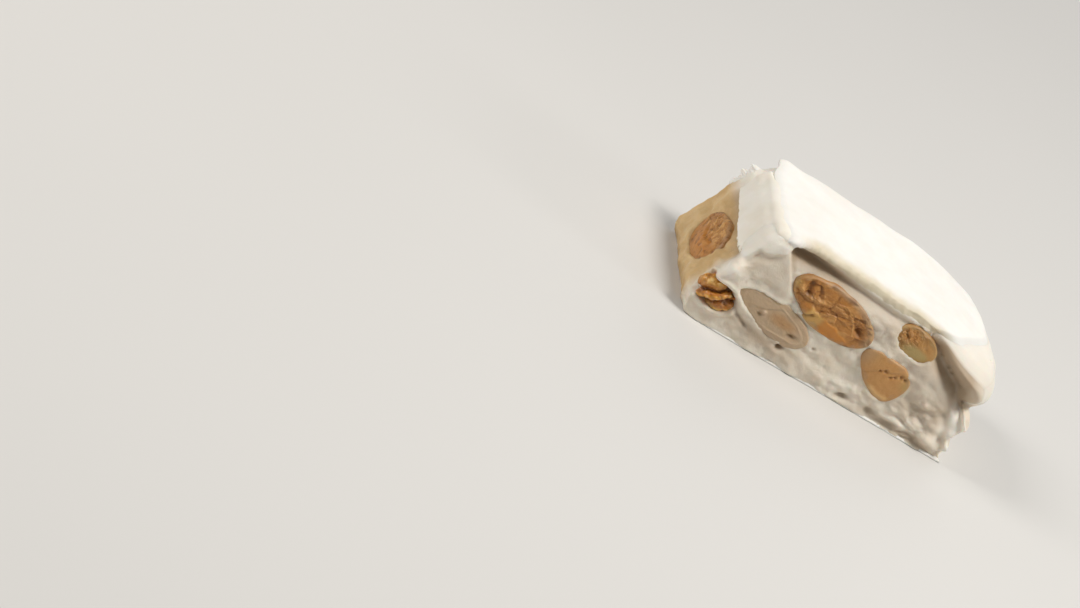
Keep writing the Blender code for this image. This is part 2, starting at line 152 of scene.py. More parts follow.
def shards(u, v, size, seed):
    """Broken facets: the plane is cut into uneven cells round jittered points, each with a level and a tilt.

    Returns the height, about -1 to 1, and how near the point is to its cell's border, from 0 to 1.
    """
    table = np.random.default_rng(seed).random((5, 64, 64))
    u, v = np.broadcast_arrays(u / size, v / size)
    column, row = np.floor(u).astype(int), np.floor(v).astype(int)
    nearest, second, height = np.full(u.shape, 9.0), np.full(u.shape, 9.0), np.zeros(u.shape)
    for right, up in np.ndindex(3, 3):
        i, j = column + right - 1, row + up - 1
        place_u, place_v, level, tilt_u, tilt_v = table[:, i % 64, j % 64]
        off_u, off_v = u - i - place_u, v - j - place_v
        away = np.hypot(off_u, off_v)
        closer = away < nearest
        second = np.where(closer, nearest, np.minimum(second, away))
        facet = 1.2 * (level - 0.5) + 1.8 * (tilt_u - 0.5) * off_u + 1.8 * (tilt_v - 0.5) * off_v
        height, nearest = np.where(closer, facet, height), np.where(closer, away, nearest)
    return height, 1 - smoothstep(0.0, 0.25, second - nearest)


def torn_steps(x, y, z, size):
    """Torn layers: warped noise is cut at two levels, and each cut is a step with a soft brow."""
    bent = 0.35 * FINE(x / size * 2.3, y + 4.0, z / size * 2.3)
    field = FINE(x / size, y, z / size) + 0.30 * bent
    return smoothstep(-0.10, 0.06, field) + 0.6 * smoothstep(0.28, 0.42, field) - 0.6


def midway(y):
    """0 on the front and back faces and 1 half way between them."""
    return 1.0 - held(np.abs(y) / (DEPTH / 2)) ** 2


def top_height(x):
    """Height of the nougat's top before the rolled end: level, swelled near the left, sagging to the right."""
    return TOP + SWELL * hump(x, SWELL_MIDDLE, SWELL_REACH) - SAG * np.maximum(x - SAG_START, 0.0) ** 2


def lip_fall(x):
    """How far the front edge of the top rounds down: from the start of the lip, and further past the middle."""
    return LIP_DROOP * smoothstep(-12, 10, x) + LEFT_DROOP * smoothstep(-24.0, -19.0, x)


def end_reach(y):
    """How far the rolled end reaches: furthest half way back, and a little further again at the front."""
    return END_REACH - END_BULGE * (1 - midway(y)) + FRONT_BULGE * smoothstep(-9.0, -15.0, y)


def roll_curve(s, y):
    """The rolled end's line: a cubic curve on four points, from the crown (s = 0) over and down (s = 1)."""
    reach = end_reach(y)
    start = top_height(CROWN_RIGHT) + CROWN_SWELL * midway(y)
    weights = [(1 - s) ** 3, 3 * s * (1 - s) ** 2, 3 * s * s * (1 - s), s**3]
    along = [CROWN_RIGHT, CROWN_RIGHT + 0.62 * (reach - CROWN_RIGHT), reach, reach]
    above = [start, start - 0.9, start - 1.6, ROLL_FOOT]
    return [sum(weight * place for weight, place in zip(weights, places)) for places in (along, above)]


def top_curve(t, y):
    """The top's line from left (t = 0) to half way round the rolled end (t = 1)."""
    x = CROWN_LEFT + (CROWN_RIGHT - CROWN_LEFT) * np.minimum(t / LEVEL_SHARE, 1.0)
    z = top_height(x) + CROWN_SWELL * midway(y) * smoothstep(10.0, CROWN_RIGHT, x)
    roll_x, roll_z = roll_curve(0.5 * held((t - LEVEL_SHARE) / (1 - LEVEL_SHARE)), y)
    level = t < LEVEL_SHARE
    return np.where(level, x, roll_x), np.where(level, z, roll_z)


def left_relief(y, z):
    """How far the left end stands out: a hollow under the flap, a torn back corner and shallow lumps."""
    hollow = hump(z, 14.0, 2.5) * band(y, -14, -10, 10, 14)
    torn_corner = smoothstep(11.0, 15.0, y) * smoothstep(21.0, 25.0, z)
    return 0.3 * LUMPS(3.5, y / 6.0, z / 6.0) - 0.6 * hollow - 1.6 * torn_corner


def left_curve(w, y):
    """The left end's line from bottom (w = 0) to top: a leaning cut, swelled low down, with its relief."""
    z = FOOT + (top_height(CROWN_LEFT) - FOOT) * w
    swell = LEFT_SWELL * smoothstep(-0.05, 0.15, w) * (1 - w)
    return FOOT_LEFT + (CROWN_LEFT - FOOT_LEFT) * w - swell - left_relief(y, z), z


def right_relief(y, z):
    """How far the right end stands out: torn in crags up to the notch below its smooth lobe.

    Near the front the crags give way to two rounded knuckles, one over the other.
    """
    near_front = smoothstep(-10.0, -16.0, y)
    torn = smoothstep(14.8, 12.5, z)
    notch = 1.8 * hump(z, 12.6, 1.8)
    lumps = LUMPS(9.5, y / 5.0, z / 4.0) * (0.2 + 0.8 * torn) * (1 - 0.5 * near_front)
    crags = torn * (0.9 * torn_steps(y, 9.0, z, 2.6) + 0.45 * rough(31.0, y, z, 2.2))
    knuckles = 0.9 * hump(z, 8.6, 2.2) - 0.4 * hump(z, 5.4, 0.9) + 1.4 * hump(z, 3.2, 1.4)
    return lumps - notch + crags * (1 - 0.85 * near_front) + knuckles * near_front


def right_curve(w, y):
    """The right end's line from the foot (w = 0) to half way round the rolled end, with its relief."""
    rise = np.minimum(w / UPRIGHT_SHARE, 1.0)
    x = FOOT_RIGHT + (end_reach(y) - FOOT_RIGHT) * rise**1.5
    z = FOOT + (ROLL_FOOT - FOOT) * rise
    roll_x, roll_z = roll_curve(1 - 0.5 * held((w - UPRIGHT_SHARE) / (1 - UPRIGHT_SHARE)), y)
    upright = w < UPRIGHT_SHARE
    x, z = np.where(upright, x, roll_x), np.where(upright, z, roll_z)
    return x + right_relief(y, z), z


# The crease that the rolled end leaves on the front face, as (x, z) points
CREASE = ((12.0, 22.9), (16.0, 21.4), (20.3, 18.9), (25.3, 16.3), (28.6, 12.6))


def crease_distance(x, z):
    """Distance to the crease, negative below it and positive on the side of the rolled end."""
    nearest = np.full(np.shape(x), 1e9)
    signed = np.zeros(np.shape(x))
    for (x0, z0), (x1, z1) in zip(CREASE, CREASE[1:]):
        run_x, run_z = x1 - x0, z1 - z0
        share = held(((x - x0) * run_x + (z - z0) * run_z) / (run_x**2 + run_z**2))
        away_x, away_z = x - x0 - share * run_x, z - z0 - share * run_z
        away = np.hypot(away_x, away_z)
        closer = away < nearest
        signed = np.where(closer, away * np.sign(away_z * run_x - away_x * run_z), signed)
        nearest = np.where(closer, away, nearest)
    return signed


def past_patch(x, z):
    """How far along the front a point lies past the dragged patch under the flap, whose border slants down."""
    return x + 23.3 - 0.67 * np.clip(23.5 - z, 0, 7)


def below_lip(x, z):
    """How far a point on the front lies below the top's front edge."""
    return top_height(x) - lip_fall(x) - z


def front_relief(x, z):
    """How far the front cut face stands out: a hollow under the wafer's lip, a crease and a lobe past it.

    The face is hollow between its edges, deepest in a groove under the lip, crumbly low down at the right,
    and rounded off at its left.
    """
    below, past, beyond = below_lip(x, z), crease_distance(x, z), past_patch(x, z)
    lobe = smoothstep(-1.0, 2.5, past) * smoothstep(8.0, 13.0, x)
    hollow = smoothstep(-0.2, 2.8, beyond) * smoothstep(0.6, 2.4, below) * smoothstep(1.0, 7.0, z)
    under_lip = hump(below, 2.2, 1.3) * smoothstep(-0.4, 1.4, beyond) * smoothstep(16, 11, x)
    groove = (0.5 + 1.7 * smoothstep(-2, -17, x)) * hump(below, 2.3, 1.4)
    groove = groove * smoothstep(-0.1, 1.0, beyond) * smoothstep(13.0, 9.0, x)
    crease = hump(past, 0.0, 1.7) * smoothstep(10.0, 14.0, x)
    fold = 1.9 * hump(past, -0.7, 2.0) * smoothstep(12.0, 17.0, x)
    fold = fold - 0.5 * hump(past, 3.6, 2.2) * smoothstep(13, 18, x)
    crumbly = smoothstep(14.0, 26.0, x) * smoothstep(14.0, 9.0, z)
    rounded = smoothstep(-30.5, -35.5, x) * smoothstep(16, 10, z)
    lumps = LUMPS(x / 7.0, 0.0, z / 6.0) * (0.35 + 0.6 * crumbly) - 1.5 * rounded
    return lumps + 0.7 * lobe - 0.7 * hollow * (1 - lobe) - 0.8 * under_lip - groove - 1.3 * crease - fold


def back_relief(x, z):
    """How far the back cut face stands out: a hollow between its edges, and lumps of its own."""
    hollow = smoothstep(0.4, 3.0, top_height(x) - z) * smoothstep(1.0, 6.0, z) * band(x, -30, -25, 22, 28)
    return -0.7 * hollow + 0.45 * LUMPS(x / 7.0, 5.5, z / 6.0)


def rounded_edge(first, second, reach):
    """How far a point near the edge of two faces moves away from each: a parabola over the reach from it.

    Takes the distances from the two faces.
    """
    near_first, near_second = held(1 - first / reach), held(1 - second / reach)
    return near_first * near_second**2, near_second * near_first**2


def block_point(t, b, w):
    """Position in the slice for t along it, b from front (-1) to back (1), and w up it.

    In the XZ plane the top's line and the two ends' lines are blended across the slice, and the relief of
    the cut faces then moves each point along Y, by its nearness to each face. The front edge of the top is
    set back, and round the rolled end it is rounded, as are the front corners and the top's left edge.
    """
    y = b * DEPTH / 2
    top_x, top_z = top_curve(t, y)
    left_x, left_z = left_curve(w, y)
    right_x, right_z = right_curve(w, y)
    corner_x, corner_z = roll_curve(0.5, y)
    x = (1 - t) * left_x + t * right_x + w * (top_x - (1 - t) * CROWN_LEFT - t * corner_x)
    z = (1 - t) * left_z + t * right_z + w * (top_z - (1 - t) * top_height(CROWN_LEFT) - t * corner_z)
    z -= lip_fall(x) * held(1 - (y + DEPTH / 2) / DROOP_REACH) ** 2 * smoothstep(0.6, 1.0, w)

    length, depth, height = BLOCK
    from_front, from_top, from_left, from_right = (b + 1) * depth / 2, (1 - w) * height, t * length, (1 - t) * length
    far = 9  # a face that an edge is kept from is moved this far off
    rim = np.minimum(from_top, from_right + far * smoothstep(0.60, 0.50, w))
    lip_back, lip_in = rounded_edge(from_front, rim, LIP_ROUND)
    lip_back = lip_back * (0.1 + 0.9 * smoothstep(-24.5, -19.0, x))
    lip_in = 1.5 * lip_in * smoothstep(0.70, 0.84, t)
    middle_x, middle_z = np.minimum(x, ROLL_MIDDLE[0]), np.minimum(z, ROLL_MIDDLE[1])
    away = np.hypot(x - middle_x, z - middle_z) + 1e-6
    x, z = x - lip_in * (x - middle_x) / away, z - lip_in * (z - middle_z) / away
    left_back, left_in = rounded_edge(from_front, from_left + far * smoothstep(0.66, 0.52, w), LEFT_ROUND)
    crown_in, crown_down = rounded_edge(from_top, from_left, CROWN_ROUND)
    x, z = x + 0.9 * left_in + 0.7 * crown_down, z - 0.7 * crown_in
    right_away = from_right + far * smoothstep(0.50, 0.60, w)
    right_back, right_in = rounded_edge(from_front, right_away, RIGHT_ROUND)
    low_down = 1.1 * smoothstep(0.02, 0.10, w)
    x = x - right_in * low_down
    y = y - front_relief(x, z) * (1 - b) / 2 + back_relief(x, z) * (1 + b) / 2
    y = y + LIP_SET_BACK * lip_back + 0.9 * left_back + right_back * low_down
    return np.stack([x, y, z], -1)


# Where each almond is cut: its face, place across and up it, length, width, turn in degrees, taper,
# squareness (2 is an ellipse), depth behind the cut, height in front of it, and for one a swelling of its
# outline: the middle along it, the side, the reach and the share
LEAN = math.atan2(CROWN_LEFT - FOOT_LEFT, TOP - LEFT_FOOT)
FACES = {
    "front": ((0, -DEPTH / 2, 0), (1, 0, 0), (0, 0, 1), (0, -1, 0)),
    "back": ((0, DEPTH / 2, 0), (1, 0, 0), (0, 0, 1), (0, 1, 0)),
    "left": ((FOOT_LEFT, 0, LEFT_FOOT), (0, 1, 0), (math.sin(LEAN), 0, math.cos(LEAN)),
             (-math.cos(LEAN), 0, math.sin(LEAN))),
    "right": ((FOOT_RIGHT, 0, 0), (0, 1, 0), (0, 0, 1), (1, 0, 0)),
}
ALMONDS = {
    "almond_pale": ("front", -17.8, 9.4, 19.8, 7.6, 168, 0.25, 1.9, 3.6, -0.3),
    "almond_roasted": ("front", -7.9, 17.0, 22.2, 9.8, 349, -0.08, 1.9, 5.0, -0.3, (-0.5, -1, 5.0, 0.12)),
    "almond_upper": ("front", 11.3, 19.7, 10.8, 6.6, 346, 0.0, 2.1, 3.6, -1.3),
    "almond_lower": ("front", 9.2, 10.8, 13.2, 8.2, 156, 0.35, 2.4, 4.4, -0.2),
    "almond_end": ("left", 1.7, 8.6, 17.2, 11.4, 174, 0.0, 2.1, 5.0, 1.5),
    "almond_back_left": ("back", -20.5, 15.6, 19.0, 8.8, 24, 0.25, 2.0, 4.4, -0.3),
    "almond_back_low": ("back", -11.0, 6.8, 17.5, 7.6, 352, 0.2, 2.0, 4.0, -0.3),
    "almond_back_high": ("back", 0.6, 17.8, 20.0, 8.4, 172, 0.3, 2.0, 4.4, -0.2),
    "almond_back_middle": ("back", 10.4, 7.6, 14.5, 8.0, 30, 0.2, 2.2, 4.2, -0.3),
    "almond_back_right": ("back", 19.6, 14.0, 12.5, 7.0, 118, 0.25, 2.0, 3.8, -0.3),
    "almond_right": ("right", 5.0, 6.6, 12.0, 6.6, 10, 0.2, 2.0, 3.6, 0.1),
}


def wobble(across, up):
    """Small sideways shifts that make an almond's outline uneven."""
    return 0.35 * FINE(across / 4.5, 1.7, up / 4.5), 0.35 * FINE(across / 4.5, 4.9, up / 4.5)


def rim_swell(almond, u, v):
    """How much wider an almond's outline is than its oval near one place on it, as a share."""
    if len(almond) < 11:
        return 1.0
    middle, side, reach, share = almond[10]
    return 1 + share * hump(u, middle, reach) * (np.sign(v) == side)


def outline_distance(almond, across, up):
    """Distance outside an almond's outline, negative inside, with the point's place along and aside it.

    The outline is a superellipse whose width changes steadily along it. The distance is measured along
    the line from the middle through the point.
    """
    _, mid_across, mid_up, length, width, turn, taper, square = almond[:8]
    shift_across, shift_up = wobble(across, up)
    right, above = across - shift_across - mid_across, up - shift_up - mid_up
    turn = math.radians(turn)
    along = (right * math.cos(turn) + above * math.sin(turn)) / (length / 2)
    aside = (above * math.cos(turn) - right * math.sin(turn)) / (width / 2)
    aside = aside / np.maximum(1 - taper * np.clip(along, -1.2, 1.2), 0.2)
    aside = aside / rim_swell(almond, along * length / 2, aside)
    level = (np.abs(along) ** square + np.abs(aside) ** square) ** (1 / square)
    away = np.hypot(right, above)
    return away - away / np.maximum(level, 1e-6), along, aside


def sunk(almond, across, up, surface):
    """How far the nougat drops at an almond: past its outline it dips under the cut face to a floor."""
    distance, _, _ = outline_distance(almond, across, up)
    ragged = distance + 0.30 * FINE(across / 1.5, 2.2, up / 1.5) + 0.12 * FINE(across / 0.6, 2.2, up / 0.6)
    floor = almond[9] - 1.5
    return (floor - surface) * smoothstep(-0.35, -1.0, ragged)


def overlap_lip(almond, across, up):
    """Height of the paste drawn up against an almond's edge: a low uneven bead just outside its outline."""
    distance, _, _ = outline_distance(almond, across, up)
    return (0.12 + 0.30 * FINE(across / 2.1, 6.2, up / 2.1)) * hump(distance, 0.1, 0.75)


def with_almonds(side, across, up, surface, move):
    """A face's relief with a bead of paste and a hollow added for each almond that the knife cut there."""
    for almond in ALMONDS.values():
        if almond[0] == side:
            move = move + overlap_lip(almond, across, up)
            move = move + sunk(almond, across, up, surface + move)
    return move


def face_frame(side):
    """A face's origin and its ways across, up and out of it."""
    return [np.array(part, float) for part in FACES[side]]


def on_face(side, places):
    """How far places lie across, up and out from a face's origin."""
    origin, *ways = face_frame(side)
    return [(places - origin) @ way for way in ways]


def pits(x, y, z, size, share):
    """Small round holes scattered by noise: deepest where the noise peaks past the given share."""
    return smoothstep(share, share + 0.35, FINE(x / size, y / size, z / size))


def surface_detail(x, z, seed, smooth=0.0):
    """Fine relief of a cut face: soft lumps, torn steps in places, a little drag along the cut, grain and pits.

    Where the face is smooth, the lumps, steps and pits fade out.
    """
    lumps = 0.45 * FINE(x / 5.0, seed * 2.3, z / 3.0) + 0.22 * FINE(x / 2.2, seed * 1.9, z / 1.5)
    torn = smoothstep(-0.15, 0.35, FINE(x / 8.0, seed * 4.1, z / 5.0))
    steps = torn * (0.20 * torn_steps(x / 1.6, seed * 1.3, z, 2.8) + 0.10 * torn_steps(x / 1.4, seed * 2.9, z, 1.2))
    drag = FINE(x / 9.0 + z / 5.0, seed, z / 0.9)
    grain = rough(x, seed * 3.1, z, 0.9, 2)
    holes = pits(x, seed * 5.7, z, 1.5, 0.58) + 0.4 * pits(x, seed * 9.1, z, 0.8, 0.58)
    lively = 1 - smooth
    return lively * (lumps + steps - 0.35 * holes) + (0.4 + 0.6 * lively) * (0.04 * drag + 0.05 * grain)


def shell_of_block(cells):
    """Grid points on a plain block's surface, as shares along its sides, and its faces.

    The sides share their points, and the bottom is a single face, because it is flat and hidden.
    """
    stops = []
    for length, count in zip(BLOCK, cells):
        rim = np.array([0.0, 0.12, 0.26, 0.42, 0.6]) / length
        stops.append(np.concatenate([rim, np.linspace(0.8 / length, 1 - 0.8 / length, count - 9), 1 - rim[::-1]]))
    nx, ny, nz = (len(s) for s in stops)
    on_shell = np.zeros((nx, ny, nz), bool)
    on_shell[[0, -1]] = True
    on_shell[:, [0, -1]] = True
    on_shell[:, :, [0, -1]] = True
    on_shell[1:-1, 1:-1, 0] = False
    number = np.full(on_shell.shape, -1)
    number[on_shell] = np.arange(on_shell.sum())
    i, j, k = np.nonzero(on_shell)
    points = np.stack([stops[0][i], stops[1][j], stops[2][k]], -1)
    quads = []
    for sheet, flip in ((number[0], True), (number[-1], False), (number[:, 0], False), (number[:, -1], True),
                        (number[:, :, -1], False)):
        corners = [sheet[:-1, :-1], sheet[1:, :-1], sheet[1:, 1:], sheet[:-1, 1:]]
        if flip:
            corners = corners[::-1]
        quads.append(np.stack(corners, -1).reshape(-1, 4))
    foot = number[:, :, 0]
    around = np.concatenate([foot[:-1, 0], foot[-1, :-1], foot[:0:-1, -1], foot[0, :0:-1]])
    return points, np.concatenate(quads), around


def linked(name, data):
    """A new object with the given data, placed in the scene at its origin."""
    made = bpy.data.objects.new(name, data)
    bpy.context.scene.collection.objects.link(made)
    return made


def make_piece(name, points, quads, extra_faces=(), attributes=None):
    """Writes points in millimetres, four-sided faces and any others as a smooth mesh object in metres."""
    mesh = bpy.data.meshes.new(name)
    faces = [tuple(q) for q in quads.tolist()] + [tuple(int(v) for v in f) for f in extra_faces]
    mesh.from_pydata((points * 0.001).tolist(), [], faces)
    for key, values in (attributes or {}).items():
        layer = mesh.attributes.new(key, "FLOAT", "POINT")
        layer.data.foreach_set("value", np.asarray(values, np.float32))
    mesh.polygons.foreach_set("use_smooth", np.ones(len(mesh.polygons), bool))
    mesh.update()
    bm = bmesh.new()
    bm.from_mesh(mesh)
    bmesh.ops.recalc_face_normals(bm, faces=bm.faces[:])
    bm.to_mesh(mesh)
    bm.free()
    return linked(name, mesh)


def softened(points, quads, share, turns):
    """Points eased by turns: each moves towards the mean of the points that it shares an edge with."""
    first = np.concatenate([quads.ravel(), np.roll(quads, -1, 1).ravel()])
    second = np.concatenate([np.roll(quads, -1, 1).ravel(), quads.ravel()])
    moving = share[first] > 0.001
    first, second = first[moving], second[moving]
    count = np.maximum(np.bincount(first, minlength=len(points)), 1)
    points = points.copy()
    for _ in range(turns):
        for axis in range(3):
            mean = np.bincount(first, points[second, axis], len(points)) / count
            points[:, axis] += 0.6 * share * (mean - points[:, axis])
    return points


# Marks on the front face, each as its weight, its place along and up, its reaches and its turn
HOLES = ((1.0, -12.5, 4.3, 0.85, 0.6, 25), (0.7, 5.2, 1.8, 1.4, 0.6, 15), (0.6, 12.0, 2.0, 1.5, 0.9, 10),
         (0.5, -6.2, 7.6, 0.5, 0.35))
# The first is a real brownish stain; the other two are painted shadow, below the pale almond and between the roasted
# and upper almonds
STAINS_AND_SHADOWS = ((0.30, 19.4, 17.9, 2.6, 1.4, -35), (0.85, -16.5, 3.9, 7.6, 1.8, -10), (0.35, 4.5, 19.5, 3.0, 3.0))
FURROW = ((-26.5, 8.4), (-24.5, 6.2), (-21.5, 4.6))


def front_finish(x, z):
    """The front's fine relief, how far it is skinned or given painted highlight, and its painted shade.

    A plate of skin is dragged over its upper left corner, down to a rising hem. The lobe and the strip under
    the lip are smooth, and low down at the right the paste is crumbly, undercut and torn to crags.
    """
    past, beyond, below = crease_distance(x, z), past_patch(x, z), below_lip(x, z)
    on_lobe = smoothstep(0.2, 2.0, past) * smoothstep(10.0, 14.0, x)
    patch = smoothstep(0.8, -0.6, beyond) * smoothstep(14.5, 16.5, z)
    under_crease = smoothstep(-5.5, -3.5, past) * smoothstep(13.0, 16.0, x) * (1 - on_lobe)
    smooth = held(0.85 * on_lobe + 0.75 * patch + 0.6 * under_crease + 0.85 * smoothstep(5.5, 3.0, below))
    crumbly = smoothstep(12.0, 20.0, x) * smoothstep(12.0, 8.0, z)
    ledges = 0.75 * FINE(x / 4.2, 9.0, z / 2.1) + 0.4 * FINE(x / 2.0, 9.5, z / 1.1)
    ledges = ledges + 0.40 * torn_steps(x / 2.0, 9.7, z, 2.2)
    undercut = smoothstep(3.0, 1.8, z + 0.5 * FINE(x / 2.5, 4.4, 1.0)) * smoothstep(0.2, 0.9, z)
    undercut = undercut * band(x, 8.0, 17.0, 27.0, 29.0)

    hem = 18.6 + 0.62 * (x + 31.0) + 0.35 * FINE(x / 1.2, 3.5, 1.5) + 0.15 * FINE(x / 0.5, 3.5, 1.5)
    spread = 0.2 + 0.6 * smoothstep(-27.5, -29.5, x)
    plate = smoothstep(hem - spread, hem + spread, z) * smoothstep(0.2, 1.9, below)
    plate = plate * smoothstep(-23.3, -24.4, x + 0.3 * FINE(1.0, 2.0, z / 1.1))
    under_plate = hump(z - hem, -1.2, 1.1) * smoothstep(-23.5, -25.5, x)
    step = smoothstep(-0.1, 0.6, beyond + 0.3 * FINE(3.0, 2.0, z / 2.2)) * smoothstep(15.5, 17.5, z)
    bulge = spot(x, z, -31.6, 13.8, 2.6, 2.1, 20)
    torn_edge = 28.0 + 0.4 * FINE(1.0, 4.0, z / 2.4) - 0.48 * (z - 8.0)
    crag = smoothstep(torn_edge - 0.3, torn_edge + 1.0, x) * band(z, 0.8, 2.4, 11.2, 12.8)
    crag = crag * (1 - 0.8 * hump(z, 4.9, 0.6)) - 0.5 * hump(x, torn_edge - 0.7, 0.7) * smoothstep(12.0, 10.0, z)
    holes = spots(x, z, HOLES) + 0.45 * stroke(x, z, FURROW, 0.5)
    move = surface_detail(x, z, 1.3, smooth) * (1 - 0.3 * crumbly) + crumbly * ledges - 0.7 * undercut
    move = move * (1 - 0.6 * plate) + 0.55 * plate - 0.7 * under_plate + 1.3 * bulge - 1.6 * holes
    move = move + 1.1 * crag - 0.8 * step * smoothstep(-13, -18, x)

    on_roll = smoothstep(-1, 0, past) * smoothstep(14, 19, x) * smoothstep(11.5, 12.5, z)
    groove = hump(below, 2.5, 1.7) * smoothstep(-0.2, 0.8, beyond) * smoothstep(16.0, -22.0, x)
    shade = 0.62 * hump(past, -0.6, 1.9) * smoothstep(11, 16, x) * smoothstep(9.0, 13.0, z)
    shade = shade + 0.70 * smoothstep(8.0, 2.0, past) * on_roll + 0.7 * holes + 1.25 * groove + 0.45 * undercut
    shade = shade + spots(x, z, STAINS_AND_SHADOWS) + 0.2 * smoothstep(3.2, 0.6, z) * smoothstep(2, 12, x)
    shade = shade + 0.40 * band(x, 7.0, 15.0, 25.0, 28.0) * smoothstep(3.0, 7.0, z)
    shade = shade + 0.35 * smoothstep(1.3, 0.2, np.abs(beyond - 0.9)) * smoothstep(15.5, 17.5, z)
    # The dragged plate is real skin; the whitening on the corner bulge, the crag and the lobe's right side is painted
    # highlight
    skin_and_highlight = np.maximum(np.maximum(plate, bulge), held(crag))
    return move, np.maximum(skin_and_highlight, 0.65 * on_lobe * smoothstep(3.2, 6.8, past)), held(shade)


def left_finish(y, z):
    """The left end's fine relief, how far it is flapped over, skinned or given painted highlight, given painted
    shade, and crusted.

    The flap lies on it down to a rising hem, with a hollow beside the hem and a bulge at the front corner.
    """
    edge = 11.4 + 0.35 * FINE(1.5, 2.5, z / 1.3) + 0.15 * FINE(1.5, 2.5, z / 0.4)
    hem = 16.4 + 0.09 * (y + 18) + 0.5 * FINE(y / 1.6, 3.5, 1.5) + 0.2 * FINE(y / 0.5, 3.5, 1.5)
    spread = 0.15 + 0.6 * smoothstep(-13.0, -17.0, y)
    flap = smoothstep(edge + 0.15, edge - 0.15, y) * smoothstep(hem - spread, hem + spread, z)
    beside = hump(z, hem - 1.9, 1.5) * band(y, -14.0, -11.0, 10.5, 13.5)
    bulge = spot(y, z, -17.0, 13.4, 3.0, 2.2)
    move = surface_detail(y, z, 11.7) * (1.0 - 0.8 * flap) + (0.3 + 0.45 * smoothstep(-8.0, -14.0, y)) * flap
    move = move + 0.9 * bulge - 0.8 * beside + 0.7 * FINE(y / 5.0, 8.0, z / 4.0) * smoothstep(10.0, 17.0, y)
    remains = smoothstep(10.5, 11.8, y) * smoothstep(17.0, 20.5, z + 1.5 * FINE(1.0, y / 2.0, z / 2.0))
    shade = hump(z, hem - 1.2, 2.0) * band(y, -17.0, -14.0, 10.5, 14.0)
    crust = smoothstep(19.0, 15.0, z) * smoothstep(-15.5, -9.0, y + 1.5 * FINE(1.0, y / 3.0, z / 3.0))
    # The flap and the wafer's remains are real skin; the whitening on the corner bulge is painted highlight, and the
    # dark under the hem painted shadow
    return move, flap, np.maximum(flap, bulge) + 0.8 * remains, shade, crust


def nougat_points(shares):
    """The nougat's surface from shares along the plain block, and the masks of its colours, painted shade and
    highlight.

    The block's edges are rounded, the slice's curves bend it, and each face's fine relief then moves the
    point out of that face by the squared share of the rounded block's normal. Last, the corner nut's hollow
    is sunk in, and the top's back left corner is torn off.
    """
    box_points = shares * BLOCK
    inner = np.clip(box_points, EDGE_RADIUS, BLOCK - EDGE_RADIUS)
    way = box_points - inner
    way /= np.linalg.norm(way, axis=-1, keepdims=True)
    soft = (inner + EDGE_RADIUS * way) / BLOCK
    base = block_point(soft[:, 0], soft[:, 1] * 2 - 1, soft[:, 2])
    x, y, z = base.T
    squared = (way * np.abs(way)).T
    left, front, _ = np.maximum(-squared, 0)
    right, back, top = np.maximum(squared, 0)

    front_move, plate, shade = front_finish(x, z)
    left_move, flap, left_skin_and_highlight, left_shade, crust = left_finish(y, z)
    right_move = surface_detail(y, z, 17.9) * (0.4 + 0.9 * smoothstep(14.8, 12.5, z))
    out = base.copy()
    # recess_shade adds up how far each face is sunk in; the material turns the deepest places into painted shade
    recess_shade = -left * FLAP * flap
    for side, facing, move in (("front", front, front_move), ("back", back, surface_detail(x, z, 6.9)),
                               ("left", left, left_move), ("right", right, right_move)):
        move = facing * with_almonds(side, *on_face(side, base), move)
        out += move[:, None] * face_frame(side)[3]
        recess_shade += move

    gap = np.linalg.norm((base - CORNER_NUT) / (CORNER_REACH + 0.3), axis=-1)
    hollow, bead = 2.6 * smoothstep(1.06, 0.86, gap), 0.45 * hump(gap, 1.14, 0.09)
    for axis, facing in enumerate((left, front)):
        out[:, axis] += hollow * smoothstep(0.0, 0.4, facing) - bead * facing
    tear = 0.5 * FINE(x / 1.8, y / 1.8, z / 1.8) + 0.25 * FINE(x / 0.7, y / 0.7, z / 0.7)
    past_tear = (out - TEAR_POINT) @ TEAR_WAY
    out -= (smoothstep(-0.3, 0.5, past_tear) * np.maximum(past_tear - tear, 0))[:, None] * TEAR_WAY
    out[:, 2] = np.maximum(out[:, 2] + 0.10 * top, FOOT)

    rolled = np.maximum(top, right * smoothstep(13.0, 15.0, z))
    torn_off = smoothstep(-1.6, 0.0, past_tear) * (1 - front)
    # Skin on the flap, the plate, the torn corner and the rolled top, with the front's painted highlight on the
    # bulge, crag and lobe
    skin_and_highlight = held(left * left_skin_and_highlight + front * plate + 0.8 * rolled + torn_off)
    return out, {"recess_shade": recess_shade, "skin_and_highlight": skin_and_highlight, "shade": front * shade + left * left_shade, "crust": left * crust}


shares, quads, around = shell_of_block(CELLS)
points, masks = nougat_points(shares)
x, y, z = points.T
rolled_edge = smoothstep(0.3, 2.0, crease_distance(x, z)) * smoothstep(13, 17, x) * smoothstep(-8, -11, y)
points = softened(points, quads, rolled_edge * smoothstep(12.8, 14.5, z), 90)
crags = smoothstep(25.0, 27.5, x) * smoothstep(14.5, 13.0, z) * smoothstep(0.6, 1.4, z)
points = softened(points, quads, crags, 14)
nougat = make_piece("nougat_paste", points, quads, [around], masks)


def node(tree, kind, **inputs):
    """Adds a shader node and sets its inputs by name, or by number as i0, linking those given as sockets."""
    made = tree.nodes.new(kind)
    for key, value in inputs.items():
        socket = made.inputs[int(key[1:]) if key[1:].isdigit() else key]
        if isinstance(value, bpy.types.NodeSocket):
            tree.links.new(value, socket)
        else:
            socket.default_value = value
    return made


def ramp(tree, factor, *stops):
    """A colour ramp with the given (position, colour) stops."""
    made = tree.nodes.new("ShaderNodeValToRGB")
    tree.links.new(factor, made.inputs[0])
    elements = made.color_ramp.elements
    while len(elements) < len(stops):
        elements.new(0.5)
    for element, (position, colour) in zip(elements, stops):
        element.position = position
        element.color = (*colour, 1.0)
    return made.outputs[0]


